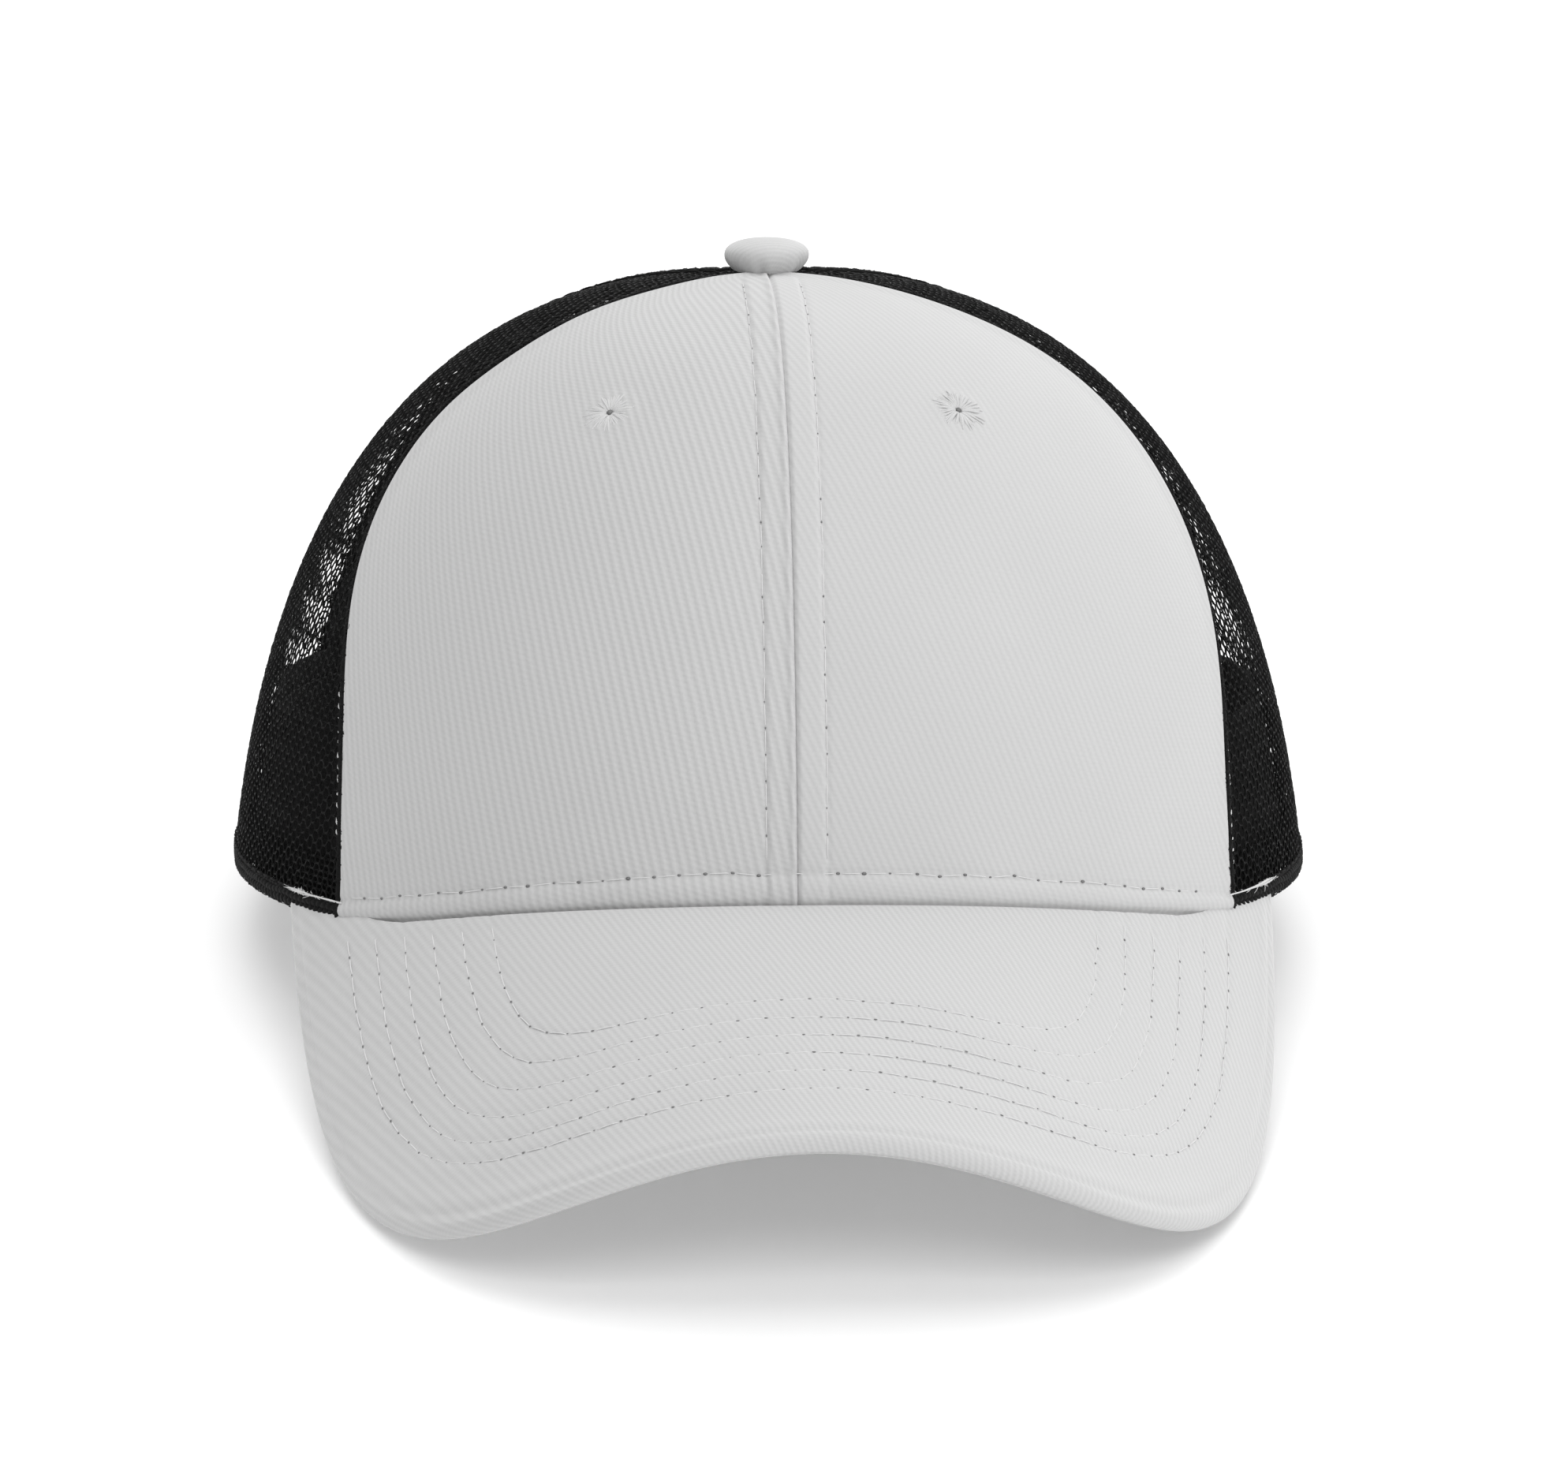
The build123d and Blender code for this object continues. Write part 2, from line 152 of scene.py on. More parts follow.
def rise_at(height):
    share = np.clip(np.asarray(height, float) / CROWN_HEIGHT * (1 - RIM_SHARE) + RIM_SHARE, 0, 1)
    climb = np.degrees(np.arcsin(share ** (1 / HEIGHT_POWER)))
    return (climb - RIM_ANGLE) / (90 - RIM_ANGLE)


def unit(vectors):
    return vectors / np.maximum(np.linalg.norm(vectors, axis=-1, keepdims=True), 1e-12)


def dome_normal(azimuth, rise):
    east = dome(azimuth + 0.2, rise) - dome(azimuth - 0.2, rise)
    north = dome(azimuth, rise + 0.002) - dome(azimuth, rise - 0.002)
    return unit(np.cross(east, north))


def degrees_per_mm(points, least):
    """The turn round the crown's axis that moves each point by one millimetre."""
    return 1 / np.maximum(np.hypot(points[:, 0], points[:, 1]) * math.radians(1), least)


def front_seam(rise):
    return SEAM_RIM + SEAM_DRIFT * rise + SEAM_BULGE * np.sin(np.pi * rise) ** 2


def root_line(x):
    share = np.clip(np.abs(x) / HALF_WIDTH, 0, 0.999)
    return -FRONT_REACH * (1 - share**FRONT_SQUARENESS) ** (1 / FRONT_SQUARENESS)


def root_height(x):
    fall = (np.abs(x) / ROOT_HALF_WIDTH) ** ROOT_POWER
    return ROOT_RISE * (1 - fall / (1 + (fall / ROOT_LIMIT) ** 4) ** 0.25)


def visor_height(x, y):
    share = (np.abs(x) / SLOPE_HALF_WIDTH) ** 2
    slope = MIDDLE_SLOPE + SLOPE_GAIN * share + SLOPE_FADE * share**2
    return root_height(x) - slope * (root_line(x) - y)


def visor_normal(x, y):
    step = 0.5
    tilt_x = (visor_height(x + step, y) - visor_height(x - step, y)) / (2 * step)
    tilt_y = (visor_height(x, y + step) - visor_height(x, y - step)) / (2 * step)
    return unit(np.stack([-tilt_x, -tilt_y, np.ones_like(tilt_x)], axis=-1))


def visor_point(x, y, height=0.0):
    """A point height above the visor's middle surface, along its normal."""
    x, y = np.asarray(x, float), np.asarray(y, float)
    middle = np.stack([x, y, visor_height(x, y)], axis=-1)
    return middle + visor_normal(x, y) * np.asarray(height)[..., None]


def visor_edge(turn, side_inset=0.0, front_inset=0.0, squareness=VISOR_SQUARENESS):
    """The visor's outline from above, or a line inside it; turn runs from -90 to 90 degrees."""
    turn = np.radians(turn)
    x = (VISOR_HALF_WIDTH - side_inset) * signed_power(np.sin(turn), 2 / squareness)
    y = VISOR_WIDEST - (VISOR_LENGTH - front_inset) * np.cos(turn) ** (2 / squareness)
    return x, y


def stand(points):
    """From millimetres in the crown's frame to metres in the row frame."""
    x, y, z = np.moveaxis(np.asarray(points, float) * MM, -1, 0)
    turned_y = y * math.cos(LEAN) + z * math.sin(LEAN)
    turned_z = -y * math.sin(LEAN) + z * math.cos(LEAN)
    return np.stack([x + RIM_CENTRE[0], turned_y + RIM_CENTRE[1], turned_z + RIM_CENTRE[2]], -1)


def bump(distance, width):
    """1 at distance 0, falling off over width."""
    return np.exp(-((distance / width) ** 2))


def ease(value, low, high):
    share = np.clip((value - low) / (high - low), 0, 1)
    return share * share * (3 - 2 * share)


def waves(u, v, seed, length):
    """A smooth, repeatable unevenness between about -1 and 1."""
    draw = np.random.default_rng(seed)
    total = np.zeros(np.broadcast(u, v).shape)
    for _ in range(6):
        angle, phase = draw.uniform(0, 2 * math.pi, 2)
        size = length * draw.uniform(0.7, 1.8)
        total = total + np.sin((u * math.cos(angle) + v * math.sin(angle)) * 2 * math.pi / size + phase)
    return total / 3


def arc_along(points, axis):
    """Distance along a grid's rows or columns, from its first line."""
    steps = np.linalg.norm(np.diff(points, axis=axis), axis=-1)
    zero = np.zeros_like(np.take(steps, [0], axis=axis))
    return np.concatenate([zero, np.cumsum(steps, axis=axis)], axis=axis)


# ---- materials ----
def node(tree, kind, inputs=None, **settings):
    made = tree.nodes.new(kind)
    for key, value in settings.items():
        setattr(made, key, value)
    for key, value in (inputs or {}).items():
        if isinstance(value, bpy.types.NodeSocket):
            tree.links.new(value, made.inputs[key])
        else:
            made.inputs[key].default_value = value
    return made


def base_material(name, roughness, **constants):
    """A new material, its node tree and its shader, with the shader's constants set."""
    material = bpy.data.materials.new(name)
    material.use_nodes = True
    tree = material.node_tree
    shader = tree.nodes["Principled BSDF"]
    shader.inputs["Roughness"].default_value = roughness
    for key, value in constants.items():
        shader.inputs[key.replace("_", " ")].default_value = value
    return material, tree, shader


def mix(tree, low, high, factor, **settings):
    inputs = {0: factor, 6: low, 7: high}
    return node(tree, "ShaderNodeMix", inputs, data_type="RGBA", **settings).outputs[2]


def math_node(tree, operation, first, second=0.0):
    return node(tree, "ShaderNodeMath", {0: first, 1: second}, operation=operation).outputs[0]


def dress_shader(tree, shader, colour, height, strength, depth):
    """Gives a shader its colour and its bump, whose depth is in millimetres."""
    tree.links.new(colour, shader.inputs["Base Color"])
    bumpy = {"Height": height, "Strength": strength, "Distance": depth * MM}
    tree.links.new(node(tree, "ShaderNodeBump", bumpy).outputs[0], shader.inputs["Normal"])


def grey(value, warmth=0.0):
    return (value * (1 + warmth), value, value * (1 - warmth), 1)


def cloth_millimetres(tree, turn):
    """The cloth's own flat coordinates in millimetres, turned by an angle in degrees."""
    flat = node(tree, "ShaderNodeUVMap", uv_map="cloth")
    return node(
        tree,
        "ShaderNodeMapping",
        {"Vector": flat.outputs[0], "Rotation": (0, 0, math.radians(turn)), "Scale": (1000, 1000, 1000)},
    ).outputs[0]


def stripes(tree, vector, pitch, distortion=0.0, direction="X"):
    return node(
        tree,
        "ShaderNodeTexWave",
        {
            "Vector": vector,
            "Scale": 2 * math.pi / 20 / pitch,
            "Distortion": distortion,
            "Detail": 1.0,
            "Detail Scale": 0.6 * pitch,
        },
        wave_type="BANDS",
        bands_direction=direction,
        wave_profile="SIN",
    ).outputs["Fac"]


def noise(tree, vector, scale, detail=2.0):
    return node(
        tree, "ShaderNodeTexNoise", {"Vector": vector, "Scale": scale, "Detail": detail}
    ).outputs["Fac"]


def twill(name, tone, lean, pitch=1.45, depth=0.16, shade=0.12):
    """Cotton twill: diagonal ribs, each a row of short floats, with slubs and a little fuzz. The colour is
    darker between the ribs: painted shade in the grooves.
    """
    material, tree, shader = base_material(name, 0.92, Sheen_Weight=0.35, Specular_IOR_Level=0.25)
    along = cloth_millimetres(tree, lean)
    across = cloth_millimetres(tree, lean - 58)
    rib = stripes(tree, along, pitch, 0.35)
    floats = stripes(tree, across, pitch * 0.62, 0.5)
    cloud = noise(tree, along, 0.045, 3)
    yarn = noise(tree, along, 2.2, 3)
    weave = math_node(tree, "MULTIPLY_ADD", floats, 0.25)
    tree.links.new(rib, weave.node.inputs[2])
    weave = math_node(tree, "MULTIPLY", weave, 0.8)
    # painted shade: the colour is darker where the weave is low, in the grooves between the ribs
    shaded = mix(tree, grey(tone * (1 - shade)), grey(tone), weave)
    fuzzy = mix(tree, grey(0.90), grey(1.0), yarn)
    clouded = mix(tree, grey(0.955), grey(1.0), cloud)
    tint = mix(tree, shaded, fuzzy, 1.0, blend_type="MULTIPLY")
    tint = mix(tree, tint, clouded, 1.0, blend_type="MULTIPLY")
    rough = math_node(tree, "MULTIPLY_ADD", yarn, 0.35)
    tree.links.new(weave, rough.node.inputs[2])
    dress_shader(tree, shader, tint, rough, 0.6, depth)
    return material


def object_millimetres(tree):
    place = node(tree, "ShaderNodeTexCoord")
    return node(
        tree, "ShaderNodeMapping", {"Vector": place.outputs["Object"], "Scale": (1000, 1000, 1000)}
    ).outputs[0]


def yarn_material(name, tone, roughness=0.6, sheen=0.3, grain=3.0, depth=0.08, contrast=0.35, gloss=0.35):
    """Thread or knit: fine broken streaks of tone and a fibrous bump."""
    material, tree, shader = base_material(name, roughness, Sheen_Weight=sheen, Specular_IOR_Level=gloss)
    place = object_millimetres(tree)
    fibres = noise(tree, place, grain, 4)
    patches = noise(tree, place, 0.12, 2)
    colour = mix(tree, grey(tone * (1 - contrast)), grey(tone * (1 + contrast * 0.5)), fibres)
    colour = mix(tree, colour, grey(tone * 1.25), math_node(tree, "MULTIPLY", patches, 0.3))
    dress_shader(tree, shader, colour, fibres, 0.8, depth)
    return material


def woven(name, tone, pitch, depth=0.12, shade=0.4, roughness=0.85, sheen=0.3, gloss=0.3, warmth=0.0):
    """A plain weave: two sets of yarns at right angles. The colour is darker between the yarns, painted
    shade, with random specks.
    """
    material, tree, shader = base_material(name, roughness, Sheen_Weight=sheen, Specular_IOR_Level=gloss)
    place = cloth_millimetres(tree, 0)
    warp = stripes(tree, place, pitch, 0.3, "X")
    weft = stripes(tree, place, pitch, 0.3, "Y")
    both = math_node(tree, "MULTIPLY", warp, weft)
    specks = noise(tree, place, 1.6, 3)
    height = math_node(tree, "MULTIPLY_ADD", specks, 0.3)
    tree.links.new(both, height.node.inputs[2])
    # painted shade: darker where the weave is low, between the yarns; the specks vary the tone at random
    colour = mix(tree, grey(tone * (1 - shade), warmth), grey(tone * 1.1, warmth), height)
    dress_shader(tree, shader, colour, height, 0.8, depth)
    return material


def moulded(name, tone, roughness, metallic=0.0, depth=0.04):
    """Moulded plastic or pressed metal: fine grain, faint scuffs in the gloss."""
    material, tree, shader = base_material(name, roughness, Metallic=metallic, Specular_IOR_Level=0.5)
    place = object_millimetres(tree)
    grain = noise(tree, place, 5.0, 3)
    scuffs = noise(tree, place, 0.35, 4)
    colour = mix(tree, grey(tone * 0.85), grey(tone * 1.2), scuffs)
    rough = math_node(tree, "MULTIPLY_ADD", scuffs, 0.25)
    rough.node.inputs[2].default_value = roughness - 0.1
    tree.links.new(rough, shader.inputs["Roughness"])
    dress_shader(tree, shader, colour, grain, 0.4, depth)
    return material


WHITE = 0.52
# Every face has the same tone; the painted groove shade is fainter on the right panel, where the light
# falls from the right-front.
TWILL = {
    "left": twill("twill_left", WHITE, -12),
    "right": twill("twill_right", WHITE, -24, pitch=1.15, depth=0.07, shade=0.07),
    "visor": twill("twill_visor", WHITE, -20, pitch=1.0, depth=0.10, shade=0.10),
    "under": twill("twill_under", WHITE, 20, pitch=1.0, depth=0.10, shade=0.10),
    "button": twill("twill_button", WHITE, 84, pitch=0.9, depth=0.07, shade=0.05),
}
NET = yarn_material("net_yarn", 0.004, 0.5, sheen=0.0, grain=4.0, depth=0.06, gloss=0.08)
KNIT = yarn_material("knit_edge", 0.005, 0.7, sheen=0.0, grain=2.5, depth=0.15, gloss=0.12)
WHITE_THREAD = yarn_material("white_thread", 0.57, 0.6, sheen=0.1, grain=6.0, depth=0.05, contrast=0.12)
EYELET_THREAD = yarn_material("eyelet_thread", 0.50, 0.65, sheen=0.1, grain=6.0, depth=0.05, contrast=0.12)
BLACK_THREAD = yarn_material("black_thread", 0.008, 0.5, sheen=0.0, grain=6.0, depth=0.05, gloss=0.25)
# NEEDLE_SHADOW is a dark colour for painted shade, in the needle holes and inside the eyelets' holes.
NEEDLE_SHADOW = yarn_material("needle_hole", 0.19, 0.95, sheen=0.0, grain=6.0, contrast=0.6)
TAPE = woven("seam_tape", 0.006, 0.55, sheen=0.0, gloss=0.15)
BAND = woven("sweatband_cloth", 0.004, 0.42, depth=0.1, shade=0.5, sheen=0.0, gloss=0.1)
BUCKRAM = woven("buckram_weave", 0.60, 0.9, depth=0.2, shade=0.35, warmth=0.01)
STRAP = moulded("strap_plastic", 0.018, 0.42)
METAL = moulded("button_metal", 0.62, 0.32, metallic=1.0)
BOARD = moulded("visor_board", 0.62, 0.6)


# ---- pieces ----
def make(name, points, faces, material, slot, body="cap", cloth=None, stands_for=(), smooth=True):
    """A mesh piece from points in the crown's frame, riding on a body."""
    mesh = bpy.data.meshes.new(name)
    placed = stand(points)
    faces = [np.asarray(group) for group in (faces if isinstance(faces, list) else [faces])]
    corners = np.concatenate([group.ravel() for group in faces])
    counts = np.concatenate([np.full(len(group), group.shape[1]) for group in faces])
    mesh.vertices.add(len(placed))
    mesh.vertices.foreach_set("co", placed.astype(np.float32).ravel())
    mesh.loops.add(len(corners))
    mesh.loops.foreach_set("vertex_index", corners.astype(np.int32))
    mesh.polygons.add(len(counts))
    starts = np.concatenate([[0], np.cumsum(counts)[:-1]])
    mesh.polygons.foreach_set("loop_start", starts.astype(np.int32))
    mesh.update(calc_edges=True)
    mesh.validate()
    mesh.polygons.foreach_set("use_smooth", np.full(len(mesh.polygons), smooth))
    if cloth is not None:
        layer = mesh.uv_layers.new(name="cloth")
        index = np.zeros(len(mesh.loops), np.int32)
        mesh.loops.foreach_get("vertex_index", index)
        layer.data.foreach_set("uv", (np.asarray(cloth) * MM)[index].astype(np.float32).ravel())
    mesh.materials.append(material)
    piece = bpy.data.objects.new(name, mesh)
    bpy.context.scene.collection.objects.link(piece)
    if body:
        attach(piece, body)
    if stands_for:
        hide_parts(*stands_for)
    return piece


def grid_faces(rows, columns, wrap=False):
    """Quads of a grid whose points are stored row by row."""
    row, column = np.meshgrid(np.arange(rows - 1), np.arange(columns - (0 if wrap else 1)), indexing="ij")
    after = (column + 1) % columns
    first, second = row * columns, (row + 1) * columns
    return np.stack([first + column, first + after, second + after, second + column], -1).reshape(-1, 4)


def slab(name, outer, inner, material, slot, cloth=None, flip=False, **settings):
    """A closed sheet between two grids of rows x columns x 3."""
    rows, columns = outer.shape[:2]
    count = rows * columns
    top = grid_faces(rows, columns)
    index = np.arange(count).reshape(rows, columns)
    loop = np.concatenate([index[0, :], index[1:, -1], index[-1, -2::-1], index[-2:0:-1, 0]])
    following = np.roll(loop, -1)
    walls = np.stack([loop, loop + count, following + count, following], -1)
    faces = np.concatenate([top, top[:, ::-1] + count, walls])
    if flip:
        faces = faces[:, ::-1]
    points = np.concatenate([outer.reshape(-1, 3), inner.reshape(-1, 3)])
    if cloth is not None:
        flat = np.asarray(cloth).reshape(-1, 2)
        cloth = np.concatenate([flat, flat])
    return make(name, points, faces, material, slot, cloth=cloth, **settings)


def sheet_facts(outer):
    """The flat size of a grid of cloth, as (width, length, area) in metres."""
    rows = arc_along(outer, 1)[:, -1]
    columns = arc_along(outer, 0)[-1, :]
    one = np.cross(outer[1:, 1:] - outer[:-1, :-1], outer[1:, :-1] - outer[:-1, 1:])
    area = np.linalg.norm(one, axis=-1).sum() / 2
    return rows.max() * MM, columns.max() * MM, area * MM * MM


def declare_sheet(outer):
    width, length, area = sheet_facts(outer)
    area = min(max(area, CLOTH_FLOOR * width * length), width * length)


def tubes(starts, ends, ups, radius, profile, sides=6):
    """Closed tubes, one for each pair of ends. profile is a list of (share along, height, size)."""
    starts, ends, ups = (np.asarray(a, float) for a in (starts, ends, ups))
    forward = unit(ends - starts)
    right = unit(np.cross(forward, ups))
    upward = np.cross(right, forward)
    radius = np.broadcast_to(np.asarray(radius, float), (len(starts),))
    angles = np.arange(sides) * 2 * math.pi / sides
    rings = []
    for share, height, size in profile:
        centre = starts + (ends - starts) * share + upward * height
        ring = [
            centre + (right * math.cos(a) + upward * math.sin(a)) * (radius * size)[:, None]
            for a in angles
        ]
        rings.append(np.stack(ring, 1))
    points = np.stack(rings, 1)
    count, length = len(starts), len(profile)
    base = grid_faces(length, sides, wrap=True)
    shift = (np.arange(count) * length * sides)[:, None, None]
    quads = (base[None] + shift).reshape(-1, 4)
    first = np.arange(sides)[None, ::-1] + shift[:, :, 0]
    last = np.arange(sides)[None, :] + (length - 1) * sides + shift[:, :, 0]
    return points.reshape(-1, 3), [quads, np.concatenate([first, last])]


def end_caps(rings, sides):
    """The two end faces of a tube of rings."""
    return np.stack([np.arange(sides)[::-1], np.arange(sides) + (rings - 1) * sides])


def long_tube(path, ups, radii, sides=8):
    """One closed tube along a path of points, with a radius at each."""
    path, ups = np.asarray(path, float), np.asarray(ups, float)
    forward = unit(np.gradient(path, axis=0))
    right = unit(np.cross(forward, ups))
    upward = np.cross(right, forward)
    angles = np.arange(sides) * 2 * math.pi / sides
    radii = np.broadcast_to(np.asarray(radii, float), (len(path),))
    cosine, sine = np.cos(angles)[None, :, None], np.sin(angles)[None, :, None]
    spokes = right[:, None] * cosine + upward[:, None] * sine
    points = (path[:, None] + spokes * radii[:, None, None]).reshape(-1, 3)
    quads = grid_faces(len(path), sides, wrap=True)
    caps = end_caps(len(path), sides)
    return points, [quads, caps]


def join_parts(parts):
    """Several (points, face groups) as one, with faces of the same size together."""
    points, groups, offset = [], {}, 0
    for part_points, part_groups in parts:
        points.append(part_points)
        for group in part_groups:
            groups.setdefault(group.shape[1], []).append(group + offset)
        offset += len(part_points)
    return np.concatenate(points), [np.concatenate(group) for group in groups.values()]


def make_joined(name, parts, *settings, **options):
    return make(name, *join_parts(parts), *settings, **options)


def edge_walls(edges, count):
    """Walls from the edges that one face has alone, down to the copies count points on."""
    _, place, times = np.unique(np.sort(edges, 1), axis=0, return_index=True, return_counts=True)
    border = edges[place[times == 1]]
    return np.stack([border[:, 1], border[:, 0], border[:, 0] + count, border[:, 1] + count], -1)


def resample(path, normals, pitch):
    """Evenly spaced stations along a path, and the normals there."""
    distance = arc_along(path[:, None], 0)[:, 0]
    stations = np.arange(0, distance[-1], pitch)
    place = np.stack([np.interp(stations, distance, path[:, k]) for k in range(3)], -1)
    normal = unit(np.stack([np.interp(stations, distance, normals[:, k]) for k in range(3)], -1))
    return place, normal


STITCH_PROFILE = [
    (0.0, -0.22, 0.55), (0.08, -0.02, 0.9), (0.3, 0.07, 1.0),
    (0.7, 0.07, 1.0), (0.92, -0.02, 0.9), (1.0, -0.22, 0.55),
]


def stitches(path, normals, pitch=3.6, gap=0.5, radius=0.16, wander=0.06):
    """Running stitches along a path on a surface: tubes, and the needle holes between them."""
    place, normal = resample(np.asarray(path), np.asarray(normals), pitch)
    drift = rng.normal(0, wander, (len(place), 3))
    place = place + drift - normal * (drift * normal).sum(-1, keepdims=True)
    forward = unit(place[1:] - place[:-1])
    starts, ends = place[:-1] + forward * gap / 2, place[1:] - forward * gap / 2
    sewn = tubes(starts, ends, normal[:-1], radius, STITCH_PROFILE)
    return sewn, place[1:-1], normal[1:-1], forward[1:]


def keep_holes(holes, lift, places, normals, forwards):
    """Adds needle holes, lifted off the surface, to the lists of places where needle-hole shade is painted.
    """
    for store, values in zip(holes, (places + normals * lift, normals, forwards)):
        store.append(values)


def needle_shades(name, places, normals, forwards, size, slot="white_thread"):
    """Painted shade where the needle went through: each a small, dark, low oval lens lying just above the
    cloth.
    """
    sides = 8
    places, normals, forwards = (np.concatenate(a) for a in (places, normals, forwards))
    across = unit(np.cross(normals, forwards))
    along = np.cross(across, normals)
    scale = size * rng.uniform(0.65, 1.25, len(places))[:, None]
    ring = []
    for k in range(sides):
        turn = 2 * math.pi * k / sides
        ring.append(places + (along * math.cos(turn) * 1.25 + across * math.sin(turn) * 0.8) * scale)
    points = np.stack([*ring, places + normals * 0.06, places - normals * 0.12], 1)
    shift = np.arange(len(places)) * (sides + 2)
    faces = []
    for k in range(sides):
        after = (k + 1) % sides
        faces.append(np.stack([shift + k, shift + after, shift + sides], -1))
        faces.append(np.stack([shift + after, shift + k, shift + sides + 1], -1))
    return make(name, points.reshape(-1, 3), np.concatenate(faces), NEEDLE_SHADOW, slot)


# ---- front panels ----
def junction_height(x):
    """The height at which the visor's top meets the crown."""
    return root_height(x) + VISOR_HALF_THICKNESS * 1.06


def band_stitch_height(x):
    """How far above the visor, or the rim, the row of stitches for the sweatband runs."""
    share = np.clip(np.abs(x) / SEAM_REACH, 0, 1)
    return BAND_STITCH_MIDDLE + (BAND_STITCH_SIDE - BAND_STITCH_MIDDLE) * share**2


def panel_bottom(azimuth):
    return np.maximum(root_height(dome(azimuth, 0.0)[..., 0]) - ROOT_COVER, 0.0)


def crowded(count, crowding=0.62):
    """Shares from 0 to 1, closer together near both ends."""
    share = np.linspace(0, 1, count)
    return share - crowding * np.sin(2 * np.pi * share) / (2 * np.pi)


def panel_grid(sign, limit, columns, rows):
    """Azimuth and rise of a front panel's grid, columns running to image right."""
    across = crowded(columns)[None, :]
    upward = crowded(rows, 0.4)[:, None]
    corner = np.clip(1 - (1 - across) * PANEL_WIDTH / CORNER_RADIUS, 0, 1)
    rounded = CORNER_RADIUS * (1 - np.sqrt(1 - corner**2))
    low = rise_at(panel_bottom(sign * SEAM_RIM * across) + rounded)
    rise = low + (PANEL_TOP - low) * upward
    azimuth = sign * (limit + (front_seam(rise) - 2 * limit) * across)
    if sign < 0:
        azimuth, rise = azimuth[:, ::-1], rise[:, ::-1]
    return azimuth, rise


def edge_distances(points, sign):
    """Distance of each grid point from the centre seam and from the temple seam."""
    from_left = arc_along(points, 1)
    from_right = from_left[:, -1:] - from_left
    return (from_left, from_right) if sign > 0 else (from_right, from_left)


def front_panel(side, sign):
    azimuth, rise = panel_grid(sign, 0.0, 210, 200)
    plain = dome(azimuth, rise)
    from_seam, from_temple = edge_distances(plain, sign)
    above = (plain[..., 2] - np.maximum(junction_height(plain[..., 0]), 0)) / 0.985
    fade = ease(rise, 0.99, 0.93)
    allowance = ease(from_seam, SEAM_STITCH_DISTANCE + 0.3, SEAM_STITCH_DISTANCE - 0.9)
    height = 0.34 * allowance * fade
    height += (0.34 if sign < 0 else 0.0) * bump(from_seam - 0.6, 0.55)
    height -= 0.55 * bump(from_seam, 0.16 if sign < 0 else 0.42)
    height -= 0.16 * bump(from_seam - SEAM_STITCH_DISTANCE, 0.45) * fade
    height += 0.30 * ease(from_temple, 4.5, 1.5) - 0.95 * np.clip(1 - from_temple / 1.0, 0, 1) ** 2
    row = band_stitch_height(plain[..., 0])
    height += 0.42 * np.sin(np.pi * np.clip(above / row, 0, 1))
    height -= 0.75 * np.clip(1 - above / 0.8, 0, 1) ** 2
    height -= 0.22 * bump(above - row, 0.5)
    v = arc_along(plain, 0)
    u = sign * from_seam
    height += 0.22 * waves(u, v, 11, 46) * ease(from_seam, 2, 14) * ease(above, 5, 20)
    height += 0.10 * waves(u, v, 12, 13) * ease(above, 16, 2)
    eye = dome(sign * EYELET_AZIMUTH, EYELET_RISE)
    reach = np.linalg.norm(plain - eye, axis=-1)
    height += 0.15 * bump(reach - 3.6, 1.1) - 0.45 * bump(reach, 1.3)
    outer = dome(azimuth, rise, -height)
    inner = dome(azimuth, rise, 0.62 - np.minimum(height, 0.25))
    cloth = np.stack([u, v], -1)
    piece = slab(
        f"front_panel_cloth_{side}", outer, inner, TWILL[side], "white_twill",
        cloth=cloth, stands_for=[f"front_panel_{side}"],
    )
    declare_sheet(outer)


def surface_line(azimuths, rises, height=0.0):
    """Points and normals along a line on the crown."""
    points = dome(azimuths, rises, -height)
    return points, dome_normal(azimuths, rises)


def azimuth_beside(centre, rise, distance):
    """The azimuth at a distance along the crown from a seam, at each rise."""
    start = centre(rise) if callable(centre) else np.full_like(rise, centre)
    sign = np.sign(distance)
    trial = start.copy()
    here = dome(start, rise)
    travelled = np.zeros_like(rise)
    step = 0.05
    done = np.zeros(rise.shape, bool)
    for _ in range(1200):
        moved = dome(trial + sign * step, rise)
        travelled = np.where(done, travelled, travelled + np.linalg.norm(moved - here, axis=-1))
        done = done | (travelled >= abs(distance))
        trial = np.where(done, trial, trial + sign * step)
        here = moved
        if done.all():
            break
    return trial


def front_stitching():
    """Both rows beside the centre seam, and the row that holds the sweatband."""
    sewn, holes = [], ([], [], [])
    rises = np.linspace(float(rise_at(junction_height(0) + BAND_STITCH_MIDDLE)) + 0.01, 0.955, 160)
    for sign in (-1, 1):
        azimuths = azimuth_beside(0.0, rises, sign * SEAM_STITCH_DISTANCE)
        part, place, normal, forward = stitches(
            *surface_line(azimuths, rises, 0.02), pitch=4.2, gap=0.6, radius=0.09
        )
        sewn.append(part)
        keep = rng.uniform(size=len(place)) < 0.8
        keep_holes(holes, 0.05, place[keep], normal[keep], forward[keep])
    needle_shades("seam_needle_holes", *holes, size=0.16)
    holes = ([], [], [])
    azimuths = np.linspace(-SEAM_RIM + 1.2, SEAM_RIM - 1.2, 400)
    x = dome(azimuths, 0.05)[:, 0]
    rises = rise_at(np.maximum(junction_height(x), 0) + band_stitch_height(x))
    part, place, normal, forward = stitches(
        *surface_line(azimuths, rises, -0.12), pitch=4.1, gap=0.9, radius=0.09, wander=0.14
    )
    sewn.append(part)
    keep_holes(holes, 0.10, place, normal, forward)
    needle_shades("band_needle_holes", *holes, size=0.27)
    make_joined("front_stitching", sewn, WHITE_THREAD, "white_thread")


